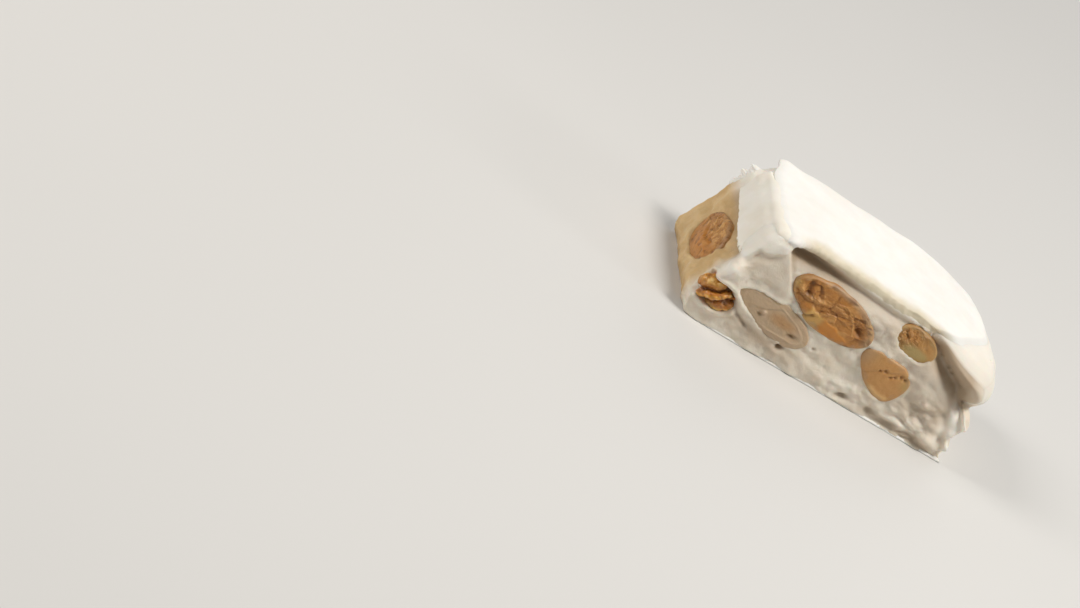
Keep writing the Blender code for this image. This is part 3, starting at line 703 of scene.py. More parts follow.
def blend(tree, factor, first, second):
    """Mixes two colours by a factor."""
    made = tree.nodes.new("ShaderNodeMix")
    made.data_type = "RGBA"
    for name, value in (("Factor_Float", factor), ("A_Color", first), ("B_Color", second)):
        socket = next(s for s in made.inputs if s.identifier == name)
        if isinstance(value, bpy.types.NodeSocket):
            tree.links.new(value, socket)
        else:
            socket.default_value = value if isinstance(value, float) else (*value, 1.0)
    return next(s for s in made.outputs if s.identifier == "Result_Color")


def new_material(name, roughness, subsurface=0.0, radius=(1.0, 0.6, 0.4), scale=0.001):
    """A material with a Principled shader whose plain values are set on its own sockets."""
    material = bpy.data.materials.new(name)
    material.use_nodes = True
    shader = material.node_tree.nodes["Principled BSDF"]
    for key, value in (("Roughness", roughness), ("Subsurface Weight", subsurface), ("Subsurface Radius", radius),
                       ("Subsurface Scale", scale)):
        shader.inputs[key].default_value = value
    return material, material.node_tree, shader


def coordinates(tree, scale=1000.0):
    """The piece's own coordinates, in millimetres unless another scale is given."""
    place = tree.nodes.new("ShaderNodeTexCoord")
    mapping = tree.nodes.new("ShaderNodeMapping")
    mapping.inputs["Scale"].default_value = (scale, scale, scale)
    tree.links.new(place.outputs["Object"], mapping.inputs["Vector"])
    return mapping.outputs["Vector"]


def noise(tree, vector, scale, detail=3.0, roughness=0.55):
    """The value of a noise texture."""
    made = node(tree, "ShaderNodeTexNoise", Vector=vector, Scale=scale, Detail=detail, Roughness=roughness)
    return made.outputs["Fac"]


def attribute(tree, name):
    """A value stored on the mesh's points."""
    made = tree.nodes.new("ShaderNodeAttribute")
    made.attribute_name = name
    return made.outputs["Fac"]


def remap(tree, value, low, high, to_low=0.0, to_high=1.0):
    """Turns the range low..high into to_low..to_high, held at its ends."""
    made = tree.nodes.new("ShaderNodeMapRange")
    tree.links.new(value, made.inputs["Value"])
    for name, number in (("From Min", low), ("From Max", high), ("To Min", to_low), ("To Max", to_high)):
        made.inputs[name].default_value = number
    return made.outputs["Result"]


def grain_group():
    """A shader group for the fine grain of food: noise whose peaks are flecks of another colour.

    Takes the place, the grain's scale, the colour under it, the flecks' colour and their share, and gives
    the flecked colour and the grain's height.
    """
    group = bpy.data.node_groups.new("food_grain", "ShaderNodeTree")
    for name, kind in (("Vector", "Vector"), ("Scale", "Float"), ("Color", "Color"), ("Fleck", "Color"),
                       ("Share", "Float")):
        group.interface.new_socket(name=name, in_out="INPUT", socket_type="NodeSocket" + kind)
    for name, kind in (("Color", "Color"), ("Grain", "Float")):
        group.interface.new_socket(name=name, in_out="OUTPUT", socket_type="NodeSocket" + kind)
    taken = group.nodes.new("NodeGroupInput").outputs
    given = group.nodes.new("NodeGroupOutput").inputs
    grain = noise(group, taken["Vector"], taken["Scale"], 3.0, 0.6)
    peaks = node(group, "ShaderNodeMath", i0=remap(group, grain, 0.61, 0.79), i1=taken["Share"])
    peaks.operation = "MULTIPLY"
    group.links.new(blend(group, peaks.outputs[0], taken["Color"], taken["Fleck"]), given["Color"])
    group.links.new(grain, given["Grain"])
    return group


def grained(tree, place, scale, colour, fleck, share):
    """Places the grain group in a material, and returns its colour and its grain."""
    made = tree.nodes.new("ShaderNodeGroup")
    made.node_tree = GRAIN
    tree.links.new(place, made.inputs["Vector"])
    tree.links.new(colour, made.inputs["Color"])
    made.inputs["Scale"].default_value = scale
    made.inputs["Fleck"].default_value = (*fleck, 1.0)
    made.inputs["Share"].default_value = share
    return made.outputs["Color"], made.outputs["Grain"]


def tinted(tree, colour, mask, tint, most, low=0.0, high=1.0):
    """A colour with a tint laid over it where the mask on the points goes from low to high."""
    return blend(tree, remap(tree, attribute(tree, mask), low, high, 0.0, most), colour, tint)


def set_surface(tree, shader, colour, grain, roughness, height, strength, distance):
    """Links a colour, a roughness that follows the grain within its two values, and a bump to the shader."""
    tree.links.new(colour, shader.inputs["Base Color"])
    tree.links.new(remap(tree, grain, 0.3, 0.7, *roughness), shader.inputs["Roughness"])
    bump = node(tree, "ShaderNodeBump", Height=height, Strength=strength, Distance=distance)
    tree.links.new(bump.outputs["Normal"], shader.inputs["Normal"])


GRAIN = grain_group()
material, tree, shader = new_material("nougat_paste", 0.52, subsurface=0.35, scale=0.0016)
place = coordinates(tree)
cloudy = noise(tree, place, 0.16, 4.0)
colour = ramp(tree, cloudy, (0.3, (0.76, 0.66, 0.525)), (0.5, (0.82, 0.735, 0.61)), (0.7, (0.87, 0.795, 0.68)))
honeyed = ramp(tree, cloudy, (0.35, (0.61, 0.385, 0.145)), (0.65, (0.745, 0.515, 0.235)))
colour = tinted(tree, colour, "crust", honeyed, 0.9)
colour, speckle = grained(tree, place, 1.9, colour, (0.64, 0.54, 0.41), 0.30)
# Painted shade: darker brown where the paste is sunk more than half a millimetre, as in the almonds' hollows
colour = tinted(tree, colour, "recess_shade", (0.55, 0.44, 0.32), 0.5, -0.5, -1.4)
colour = tinted(tree, colour, "shade", (0.385, 0.275, 0.17), 0.83)
# Dragged skin, and painted highlight where this mask whitens the crag, the lobe's right side and the corner bulge
colour = tinted(tree, colour, "skin_and_highlight", (0.92, 0.88, 0.80), 0.8)
set_surface(tree, shader, colour, speckle, (0.42, 0.62), noise(tree, place, 3.2, 4.0, 0.6), 0.35, 0.0004)
nougat.data.materials.append(material)
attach(nougat, "root")
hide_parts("nougat")


# The almonds: whole and broken kernels, roasted and skinned, stirred into the paste and cut through by the
# knife. Each is a closed form whose cut face shows and whose rounded back sits in the nougat.

# Each face below returns its height and how far it is dark, light, bright, olive and filmed over
TINTS = ("dark", "light", "bright", "olive", "film")


def roasted_face(u, v):
    """The roasted almond's broken face: flaked plates, a bright ridge and a round boss at its left, and a
    smooth facet along its bottom."""
    turn = math.radians(14)
    p, q = u * math.cos(turn) + v * math.sin(turn), v * math.cos(turn) - u * math.sin(turn)
    facet = smoothstep(0.1, -0.5, v + 2.0 + 0.10 * u + 0.35 * FINE(u / 1.6, 5.5, 1.0))
    facet = facet * band(u, -5.0, -4.0, 6.2, 7.6)
    boss = spot(u, v, -4.9, -2.9, 2.0, 1.6)
    ridge = stroke(u, v, ((-9.4, -0.1), (-7.9, -0.9), (-6.4, -0.9), (-5.0, -0.4), (-3.4, 0.3)), 0.5)
    crevice = stroke(u, v, ((-8.1, 2.0), (-7.8, 0.8), (-7.3, -0.1)), 0.65)
    pit = spot(u, v, 7.0, 0.4, 1.3, 0.8, -20)
    seam = stroke(u, v + 0.3 * FINE(u / 1.1, 5.0, v / 1.1),
                  ((-2.9, -3.3), (-1.0, -2.2), (0.3, -0.8), (1.8, 0.5), (4.4, 2.0)), 0.24)
    seam = seam * (0.3 + 0.7 * smoothstep(-0.3, 0.5, FINE(u / 0.9, 8.0, v / 0.9)))
    under_boss = stroke(u, v, ((-6.6, -3.6), (-5.2, -4.6), (-3.6, -4.2), (-2.8, -3.0)), 0.38)
    fine_line = stroke(u, v, ((3.6, 1.9), (5.2, 0.4), (6.5, -1.1)), 0.2)
    upper_cracks = stroke(u, v, ((-6.6, 3.0), (-5.3, 1.9), (-4.9, 0.9), (-3.6, 0.4)), 0.4)
    upper_cracks += stroke(u, v, ((-1.7, 3.4), (-1.5, 2.0), (-1.2, 0.4)), 0.35)
    flaky = (1 - 0.85 * facet) * (1 - 0.6 * boss)
    near_seam = hump(q, 0.8, 2.0)
    bent = 0.5 * FINE(p / 2.0, 4.0, q / 2.0)
    big, cracks = shards(p * 0.42 + bent + 20, q + bent + 20, 1.7, 5)
    small, small_cracks = shards(p * 0.5 + bent + 30, q + 30, 0.8, 6)
    flakes = 0.30 * big * (1 - 0.5 * cracks) + (0.05 + 0.12 * near_seam) * small
    flakes = flakes + (0.03 + 0.07 * near_seam) * rough(p, 2.0, q, 0.7)
    height = flakes * flaky + 0.8 * boss + 0.5 * ridge - 0.6 * crevice - 1.0 * pit - 0.15 * seam
    height += -0.4 * under_boss + 0.12 * fine_line - 0.15 * upper_cracks
    height += 0.35 * facet - 0.5 * facet * smoothstep(-2.0, -5.0, v)
    # Painted shade: darker under the boss and in the low hollows and small cracks between the flakes
    cavity = smoothstep(-0.02, -0.25, flakes) * flaky + 0.5 * near_seam * small_cracks * flaky
    dark = 0.45 * crevice + 0.8 * pit + 0.25 * seam + 0.6 * under_boss + 0.2 * upper_cracks + 0.45 * cavity
    light = 0.9 * ridge + 0.7 * fine_line + 0.6 * smoothstep(0.05, 0.28, flakes) * flaky
    bright = facet * smoothstep(-0.8, 0.8, u + 0.5 * FINE(u / 2.0, 7.0, v / 1.5)) * smoothstep(7.4, 5.0, u)
    olive = facet * smoothstep(0.6, -1.0, u) + spot(u, v, -10.6, -0.2, 1.2, 1.0)
    film = smoothstep(0.72, 0.98, np.hypot(u / 11.2, v / 4.9)) * smoothstep(0.5, 3.0, v + 0.35 * u)
    return height, dark, light, bright, olive, film


def pale_face(u, v):
    """The pale almond's face, under a thin sugar film: nearly smooth, ringed near its edge, with a dent."""
    dent = spot(u, v, -6.0, 0.5, 0.95, 0.5, 25)
    chip = spot(u, v, 2.6, 1.2, 0.6, 0.4)
    knob = spot(u, v, 2.2, 0.2, 0.6, 0.45)
    crease = stroke(u, v, ((-1.2, -2.9), (0.4, -1.6), (2.6, -0.2), (4.2, 0.6)), 0.3)
    ring = np.exp(-(((np.hypot(u / 9.0, v / 2.9) + 0.06 * FINE(u / 2.5, 3.0, v / 2.5) - 0.93) / 0.06) ** 2))
    ring = ring * (0.35 + 0.65 * smoothstep(-0.3, 0.5, FINE(u / 3.2, 9.0, v / 3.2)))
    slab = smoothstep(0.4, -0.4, (v + 1.4) - 0.6 * (u - 1.0)) * smoothstep(-3.0, 2.0, u)
    grain = 0.05 * rough(u, 4.0, v * 1.6, 1.1)
    height = grain - 0.7 * dent - 0.4 * chip + 0.3 * knob - 0.12 * crease + 0.14 * ring + 0.12 * slab
    core = spot(u, v, -2.6, -0.6, 4.0, 1.7, 8)
    dark, light = 0.7 * dent + 0.5 * chip + 0.10 * crease, 0.3 * ring + 0.8 * knob
    return height, dark, light, 0.75 * core, 0.35 * slab, smoothstep(0.8, 0.2, core)


def upper_face(u, v):
    """The upper almond's face: brown and finely broken at its left, clear and olive at its right foot."""
    broken = smoothstep(1.6, -1.4, u - 0.6 * v)
    flakes = 0.20 * shards(u + 20, v * 1.4 + 20, 1.1, 15)[0] + 0.10 * rough(u, 6.0, v * 1.8, 0.6)
    nick = spot(u, v, -3.1, 0.2, 0.9, 0.35, -30)
    height = broken * flakes - 0.5 * nick - 0.15 * spot(u, v, 2.0, 0.8, 0.5, 0.4)
    brown = smoothstep(0.3, 0.8, spot(u, v, -2.6, 0.9, 3.0, 1.9, 10))
    olive = smoothstep(0.2, 0.8, spot(u, v, 1.2, -1.4, 3.6, 1.6, 10))
    # The darker upper side is painted shadow from the lip above; the dark in low flakes is painted shade in their
    # hollows
    dark = 0.5 * smoothstep(1.2, 2.9, v) + nick + 0.3 * broken * smoothstep(0, -0.2, flakes)
    light = 0.6 * broken * smoothstep(0.05, 0.2, flakes) + spot(u, v, -3.3, 0.5, 0.5, 0.2, -30)
    return height, dark, light, 0.8 * brown, olive, 0.5 * olive


def lower_face(u, v):
    """The lower almond's face: smooth and even, with a shallow seam, a row of pits and a pale lower rim."""
    row = ((-3.8, -3.3, 0.45), (-2.7, -2.8, 0.5), (-1.8, -1.6, 0.38), (-1.3, -0.8, 0.4), (0.5, -0.9, 0.45),
           (1.25, 0.0, 0.35))
    dents = sum(spot(u, v, place_u, place_v, reach, reach * 0.8, 60) for place_u, place_v, reach in row)
    seam = stroke(u, v, ((-3.0, -3.4), (0.9, -0.3), (3.0, 3.0)), 0.3)
    rim = stroke(u, v, ((-5.2, 2.6), (-3.6, 3.6), (-1.2, 3.7)), 0.55)
    grain = 0.035 * rough(u, 9.0, v, 1.2)
    height = grain - 0.45 * held(dents) - 0.10 * seam + 0.15 * rim
    height += 0.10 * smoothstep(0.3, -0.3, v - 1.2 * (u - 1.0))
    olive = spot(u, v, -5.4, -3.0, 1.8, 1.4) + 0.3 * spot(u, v, 5.0, -1.5, 2.4, 1.6)
    # The film rising towards positive u is painted shade along that edge of the almond
    film = smoothstep(2.5, 6.5, u) + 0.3 * spot(u, v, -1, -4.4, 4, 0.8)
    return height, 0.55 * dents + 0.10 * seam, 0.9 * rim, 0.35 * spot(u, v, -2, 1, 3, 2), olive, film


def end_face(u, v):
    """The end almond's face: a broken kernel with a low boss, flaked along its upper side."""
    upper = smoothstep(0.0, 2.2, -v)
    coarse, cracks = shards(u + 20, v + 20 + 0.4 * FINE(u, 5.0, v), 1.7, 25)
    flakes = 0.30 * coarse * (1 - 0.6 * cracks) + 0.14 * rough(u, 3.0, v, 1.0) + 0.16 * upper * rough(u, 8.0, v, 0.45)
    boss = spot(u, v, 1.0, 1.6, 4.4, 2.4)
    height = flakes * (0.35 + 0.65 * upper) + 0.8 * boss - 0.4 * stroke(u, v, ((-3, -1), (0, 0.4), (4, -0.2)), 0.4)
    # The dark in low flakes is painted shade in their hollows
    dark = 0.7 * smoothstep(0.0, -0.25, flakes) + 0.5 * spot(u, v, -3.4, 3.4, 1.2, 0.9)
    return height, dark, smoothstep(0.05, 0.20, flakes) * (0.25 + 0.85 * upper), 0.5 * boss, 0, 0.2 * upper


def plain_face(seed):
    """A maker of cut faces for the other almonds: nearly smooth, with a split line, pits and some flakes."""
    def face(u, v):
        split = np.exp(-(((v - 0.8 * FINE(u / 5.0, seed, 0.5) - 0.2) / 0.22) ** 2)) * hump(u, 0.0, 5.5)
        broken = smoothstep(0.05, 0.45, FINE(u / 5.0, seed + 3.3, v / 5.0))
        flakes = 0.3 * shards(u + 20, v + 20 + 0.4 * FINE(u, seed, v), 1.5, int(seed * 10))[0]
        holes = pits(u, seed, v, 1.1, 0.5)
        height = broken * flakes + 0.05 * rough(u, seed, v, 1.0) - 0.3 * split - 0.35 * holes
        # The dark in low flakes is painted shade in their hollows
        dark = 0.5 * split + 0.8 * holes + 0.4 * broken * smoothstep(0, -0.2, flakes)
        light = 0.7 * broken * smoothstep(0.05, 0.25, flakes)
        bright = 0.8 * smoothstep(0.0, 0.5, FINE(u / 6.0, seed + 8.1, v / 4.0))
        olive = 0.6 * smoothstep(0.1, 0.5, FINE(u / 5.0, seed + 5.7, v / 4.0))
        return height, dark, light, bright, olive, 0.2
    return face


def globe_faces(rows, around):
    """Faces of a polar grid closed by two end points, numbered last: four-sided ones and two fans."""
    number = np.arange(rows * around).reshape(rows, around)
    turned = np.roll(number, -1, axis=1)
    quads = np.stack([number[:-1], turned[:-1], turned[1:], number[1:]], -1).reshape(-1, 4)
    fans = [(rows * around, second, first) for first, second in zip(number[0], turned[0])]
    fans += [(rows * around + 1, first, second) for first, second in zip(number[-1], turned[-1])]
    return quads, fans


def almond_piece(name, almond, face, rings, around, back_rings=10):
    """A closed kernel on a polar grid.

    Rings shrink from the outline to the middle of the cut face, whose height is the face's own relief on a
    low dome, rounded down at the outline. Behind it, rings follow a quarter ellipse to a point at the depth.
    """
    side, mid_across, mid_up, length, width, turn, taper, square, depth, proud = almond[:10]
    angle = np.linspace(0, 2 * math.pi, around, endpoint=False)
    along, aside = (np.sign(wave) * np.abs(wave) ** (2 / square) for wave in (np.cos(angle), np.sin(angle)))
    rim_u, rim_v = (length / 2 + 0.15) * along, (width / 2 + 0.15) * aside * (1 - taper * along)
    rim_v = rim_v * rim_swell(almond, rim_u, rim_v)

    share = (1 - np.linspace(0, 1, rings) ** 1.15)[:-1, None]
    u, v = share * rim_u, share * rim_v
    height, *masks = face(u, v)
    inward = (1 - share) * np.hypot(rim_u, rim_v)
    rounding = 0.62 * (1 - smoothstep(-0.30, 0.50, inward)) ** 1.5
    height = height * smoothstep(0.0, 0.9, inward) + 0.30 * (1 - share**2) - rounding
    smear = smoothstep(1.3, 0.1, inward + 0.9 * FINE(u / 1.9, 17.0, v / 1.9) + 0.4 * FINE(u / 0.7, 17.0, v / 0.7))
    masks[-1] = np.maximum(masks[-1], 0.7 * smear)
    quarter = np.linspace(0, math.pi / 2, back_rings + 1)[-2:0:-1, None]
    back_share = np.cos(quarter) ** 0.7
    back_height = -0.8 - (depth - 1.0) * np.sin(quarter) + 0 * rim_u
    pole_heights = (proud - depth, height[-1].mean() + proud)
    u = np.concatenate([(back_share * rim_u).ravel(), u.ravel(), (0, 0)])
    v = np.concatenate([(back_share * rim_v).ravel(), v.ravel(), (0, 0)])
    masks = {key: np.concatenate([np.zeros(back_height.size), np.ravel(held(mask) + 0 * height), (0, 0)])
             for key, mask in zip(TINTS, masks)}
    for values in masks.values():
        values[-1] = values[-3]
    height = np.concatenate([back_height.ravel() + proud, height.ravel() + proud, pole_heights])

    c, s = math.cos(math.radians(turn)), math.sin(math.radians(turn))
    across, up = mid_across + u * c - v * s, mid_up + u * s + v * c
    shift_across, shift_up = wobble(across, up)
    steps = np.stack([across + shift_across, up + shift_up, height], -1)
    origin, *ways = face_frame(side)
    return make_piece(name, origin + steps @ np.array(ways), *globe_faces(back_rings + rings - 2, around), masks)


def almond_finish(name, base, warm, dark, light, bright, olive, film, roughness=0.42):
    """The finish of a cut kernel: a mottled base, with its cracks, crests, clear places and film by mask."""
    material, tree, shader = new_material(name, roughness, subsurface=0.25, radius=(1.0, 0.45, 0.2), scale=0.0012)
    place = coordinates(tree)
    grain = noise(tree, place, 1.1, 5.0, 0.62)
    colour = ramp(tree, grain, (0.32, warm), (0.68, base))
    for key, tint, most in (("bright", bright, 0.85), ("olive", olive, 0.8), ("film", film, 0.75),
                            ("light", light, 0.8), ("dark", dark, 0.92)):
        colour = tinted(tree, colour, key, tint, most)
    colour, streak = grained(tree, place, 4.2, colour, light, 0.30)
    colour = blend(tree, remap(tree, streak, 0.40, 0.26, 0.0, 0.30), colour, dark)
    set_surface(tree, shader, colour, grain, (roughness - 0.1, roughness + 0.14), streak, 0.30, 0.0003)
    return material


ROASTED = almond_finish("roasted_almond", base=(0.545, 0.250, 0.058), warm=(0.45, 0.180, 0.034),
                        dark=(0.17, 0.056, 0.010), light=(0.72, 0.41, 0.140), bright=(0.68, 0.265, 0.032),
                        olive=(0.70, 0.43, 0.12), film=(0.44, 0.31, 0.185))
CLEAR = almond_finish("clear_almond", base=(0.56, 0.30, 0.095), warm=(0.50, 0.25, 0.065), dark=(0.26, 0.125, 0.032),
                      light=(0.72, 0.46, 0.21), bright=(0.58, 0.25, 0.055), olive=(0.47, 0.345, 0.105),
                      film=(0.50, 0.38, 0.18))
# Its film colour also paints the shade along the lower almond's edge
TAN = almond_finish("tan_almond", base=(0.60, 0.32, 0.11), warm=(0.55, 0.27, 0.082), dark=(0.26, 0.10, 0.025),
                    light=(0.74, 0.48, 0.21), bright=(0.65, 0.33, 0.095), olive=(0.46, 0.31, 0.10),
                    film=(0.46, 0.29, 0.15))
PALE = almond_finish("pale_almond", base=(0.55, 0.385, 0.225), warm=(0.48, 0.31, 0.165), dark=(0.25, 0.145, 0.06),
                     light=(0.72, 0.56, 0.385), bright=(0.52, 0.275, 0.105), olive=(0.50, 0.34, 0.18),
                     film=(0.575, 0.43, 0.285), roughness=0.38)

LOOKS = {
    "almond_pale": (pale_face, PALE, "almond_pale"),
    "almond_roasted": (roasted_face, ROASTED, "almond_roasted"),
    "almond_upper": (upper_face, CLEAR, "almond_roasted"),
    "almond_lower": (lower_face, TAN, "almond_tan"),
    "almond_end": (end_face, ROASTED, "almond_roasted"),
    "almond_back_left": (plain_face(2.3), TAN, "almond_tan"),
    "almond_back_low": (plain_face(5.1), ROASTED, "almond_roasted"),
    "almond_back_high": (plain_face(9.4), ROASTED, "almond_roasted"),
    "almond_back_middle": (plain_face(12.6), PALE, "almond_pale"),
    "almond_back_right": (plain_face(15.8), TAN, "almond_tan"),
    "almond_right": (plain_face(19.2), TAN, "almond_tan"),
}
for name, (face, finish, slot) in LOOKS.items():
    rings = 96 if name == "almond_roasted" else 64  # the largest almond is the nearest to the eye
    kernel = almond_piece(name + "_kernel", ALMONDS[name], face, rings, rings * 5 // 2)
    kernel.data.materials.append(finish)
    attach(kernel, "root")
    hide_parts(name)


# The nut at the front left corner: a broken, folded piece of nut caught in caramel, which stands out of
# the nougat at the corner, glossy and honey-coloured where the light comes through it.
def corner_nut(rings=110, around=200):
    """A ball of folds: an ellipsoid whose surface is thrown into three wavy ridges and sharp crevices.

    The folds are a wave over the height tilted along the slice and warped by noise, and crumbs of finer
    noise stand on them.
    """
    polar, turn = np.meshgrid(np.linspace(0, math.pi, rings)[1:-1],
                              np.linspace(0, 2 * math.pi, around, endpoint=False), indexing="ij")
    way = np.stack([np.sin(polar) * np.cos(turn), np.sin(polar) * np.sin(turn), np.cos(polar)], -1).reshape(-1, 3)
    way = np.concatenate([way, [[0, 0, 1], [0, 0, -1]]])
    place = way * CORNER_REACH
    x, y, z = place.T
    warp = 0.9 * FINE(x / 3.2, y / 3.2, z / 3.2) + 0.35 * FINE(x / 1.4, y / 1.4 + 5, z / 1.4)
    fold = 0.85 * z - 0.50 * x + warp
    wave = np.cos(2 * math.pi * (fold - 0.1) / 3.0)
    crevice = smoothstep(-0.35, -0.95, wave)
    knots = 0.6 * FINE(x / 1.3 + z * 0.3, y / 1.3, z / 1.3) + 0.35 * rough(x, y, z + 4.0, 0.7)
    move = 0.40 * wave - 0.50 * crevice + 0.34 * knots + 0.12 * rough(x, y, z, 0.8) - 0.15
    gap_right = spot(x, z, 3.0, 2.2, 1.0, 0.9)
    move -= 0.9 * gap_right
    place = place + way * (move - 0.15)[:, None] + CORNER_NUT
    # Painted shade in the crevices, the sunk gap at the right and the low knots; painted highlight on the crests and
    # painted light on the upper part
    dark = 0.75 * crevice + 0.8 * gap_right + 0.35 * smoothstep(0.0, -0.35, knots)
    light = 1.1 * smoothstep(0.55, 1.0, wave) * smoothstep(0.0, 0.3, knots)
    bright = smoothstep(0.3, 1.0, wave) + 0.5 * smoothstep(1.5, 3.2, z)
    olive = smoothstep(2.4, 3.6, z) + smoothstep(2.0, 3.6, -z)
    film = 0.5 * smoothstep(0.2, 0.6, FINE(x / 2.0, 9.0, z / 2.0))
    masks = {key: held(mask) for key, mask in zip(TINTS, (dark, light, bright, olive, film))}
    quads, fans = globe_faces(rings - 2, around)
    return make_piece("corner_nut_folds", place, quads[:, [0, 3, 2, 1]], fans, masks)


corner = corner_nut()
caramel = almond_finish("caramelised_nut", base=(0.56, 0.225, 0.024), warm=(0.42, 0.135, 0.012),
                        dark=(0.14, 0.038, 0.005), light=(0.83, 0.55, 0.20), bright=(0.70, 0.34, 0.050),
                        olive=(0.72, 0.46, 0.12), film=(0.60, 0.33, 0.10), roughness=0.30)
gloss = caramel.node_tree.nodes["Principled BSDF"].inputs
gloss["Coat Weight"].default_value, gloss["Coat Roughness"].default_value = 0.35, 0.22
corner.data.materials.append(caramel)
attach(corner, "root")
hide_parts("nut_corner")


# The upper wafer: a sheet of white starch wafer, thin as card, that was pressed on the warm nougat. It has
# taken the nougat's bends, bends down over the knife cut at the front, and is torn at its left edge.
WAFER = 0.5


def wafer_end(b):
    """How far along the top the upper wafer reaches: it runs out across the rolled end at the front."""
    return np.interp(b, (-1, -0.8, -0.6, -0.2, 0.0, 0.2), (0.70, 0.78, 0.84, 0.945, 0.982, 0.987))


def wafer_start(b):
    """Where the upper wafer starts along the top: a torn edge, furthest left behind the middle."""
    ragged = 0.004 * FINE(b * 14.0, 2.5, 0.5) + 0.003 * FINE(b * 37.0, 2.5, 4.5) * smoothstep(-0.2, 0.4, b)
    return 0.004 + 0.006 * LUMPS(b * 4.0, 2.5, 0.5) * smoothstep(0.2, 0.6, b) + ragged


def sheet_piece(name, lower, upper, masks=None):
    """A closed sheet from the grids of points of its two sides, joined round the rim."""
    rows, columns = lower.shape[:2]
    count = rows * columns
    number = np.arange(count).reshape(rows, columns)
    one = np.stack([number[:-1, :-1], number[1:, :-1], number[1:, 1:], number[:-1, 1:]], -1).reshape(-1, 4)
    rim = np.concatenate([number[:-1, 0], number[-1, :-1], number[:0:-1, -1], number[0, :0:-1]])
    following = np.roll(rim, -1)
    sides = np.stack([rim, following, following + count, rim + count], -1)
    points = np.concatenate([lower.reshape(-1, 3), upper.reshape(-1, 3)])
    masks = {key: np.tile(mask.ravel(), 2) for key, mask in (masks or {}).items()}
    return make_piece(name, points, np.concatenate([one[:, ::-1], one + count, sides[:, ::-1]]), (), masks)


def normals_of(places):
    """The unit normal at each point of a grid of places."""
    normal = np.cross(np.gradient(places, axis=0), np.gradient(places, axis=1))
    return normal / np.linalg.norm(normal, axis=-1, keepdims=True)


def eased(places, turns=14):
    """A grid of places with each row's bends softened: every turn averages each point with its neighbours."""
    for _ in range(turns):
        places = places.copy()
        places[:, 1:-1] = 0.25 * places[:, :-2] + 0.5 * places[:, 1:-1] + 0.25 * places[:, 2:]
    return places


def wafer_top(along_count=280, back_count=172):
    """The sheet's two sides on one grid of shares along and back.

    Both lie on the nougat's top, moved out along its normal, and past the front edge they follow the knife
    cut down a little way, with the bend eased into a round lip. The sheet thins to nothing at its rims.
    """
    curl, front_rows = 1.3, back_count // 4
    down = np.linspace(curl, 0, front_rows, endpoint=False)
    stops = np.linspace(0, 1, back_count - front_rows)
    back = -1 + 2.004 * (0.45 * stops + 0.55 * stops**2.2)
    drop = np.concatenate([down, np.zeros(len(stops))])[None, :]
    back = np.concatenate([np.full(front_rows, -1.0), back])[None, :]
    along = np.linspace(0, 1, along_count)
    along = (0.5 * along + 0.25 * (1 - np.cos(np.pi * along)))[:, None]
    along, back, drop = np.broadcast_arrays(along, back, drop)
    t = wafer_start(back) + (wafer_end(back) - wafer_start(back)) * along
    t = t + 0.004 * smoothstep(0.93, 1.0, along) * FINE(back * 9.0, 3.0, 1.0)
    drop = drop * (0.85 + 0.45 * FINE(t * 20.0, 1.0, 6.0) + 0.2 * FINE(t * 55.0, 1.0, 6.0))
    under = block_point(t, back, 1 - drop / TOP)
    under[..., 2] += 0.9 * smoothstep(0.12, 0.0, along) * smoothstep(0.7, 1.0, back)
    under = eased(under, 40)
    normal = normals_of(under)
    x, y = under[..., 0], under[..., 1]
    length = np.linalg.norm(under[-1] - under[0], axis=-1)
    left_rim, right_rim = along * length, (1 - along) * length
    path = np.linalg.norm(np.diff(under, axis=1, prepend=under[:, :1]), axis=-1).cumsum(axis=1)
    torn = smoothstep(0.2, 0.6, back)
    soft = np.maximum(smoothstep(-0.05, 0.3, left_rim), 1 - torn) * smoothstep(0.0, 2.6, right_rim)
    soft = soft * smoothstep(0.0, 1.6, path) * smoothstep(-0.02, 0.4, (1.004 - back) * DEPTH / 2)
    soft = soft * (1 - smoothstep(3.2, 0.0, left_rim) * smoothstep(-0.55, -0.85, back))
    edge = smoothstep(5.5, 1.0, path)
    uneven = 0.12 * LUMPS(x / 5.0, y / 5.0, 2.0) + (0.05 + 0.22 * edge) * FINE(x / 2.8, y / 2.4, 3.0)
    uneven = uneven + 0.10 * edge * FINE(x / 1.2, y / 1.1, 8.0)
    lower = under - normal * (0.45 - 0.30 * torn)[..., None]
    upper = under + normal * (-0.05 + (WAFER + 0.35) * soft + 0.12 * torn + uneven * soft)[..., None]
    # The lip's tint: partly a sugar stain, partly painted shade down the rounded front edge
    rim = smoothstep(6.0, 0.6, path + 0.8 * FINE(x / 3.0, 4.0, 7.0)) * smoothstep(0.05, 0.15, t)
    return sheet_piece("wafer_top_sheet", lower, upper, {"lip": rim})


def wafer_finish(name, low, high):
    """The finish of starch wafer: nearly white, matt, with the faintest clouding and a fine tooth."""
    material, tree, shader = new_material(name, 0.62, subsurface=0.15, scale=0.0008)
    place = coordinates(tree)
    cloudy = noise(tree, place, 0.13, 3.0)
    colour = ramp(tree, cloudy, (0.35, low), (0.65, high))
    colour, tooth = grained(tree, place, 5.0, colour, (0.84, 0.79, 0.70), 0.25)
    # Sugar stain and painted shade on the rounded front lip
    colour = tinted(tree, colour, "lip", (0.70, 0.60, 0.41), 0.85)
    set_surface(tree, shader, colour, tooth, (0.55, 0.70), tooth, 0.18, 0.0002)
    return material


STARCH = wafer_finish("starch_wafer", (0.87, 0.845, 0.79), (0.915, 0.90, 0.86))
sheet = wafer_top()
sheet.data.materials.append(STARCH)
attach(sheet, "root")
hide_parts("wafer_top")


# The flap: where the upper wafer's skin was dragged down over the left end by the blade. It hangs flat on
# the paste from the top edge to a torn hem, and at the back only shreds of it stand up.
FLAP_FRONT, FLAP_BACK = -18.1, 11.6


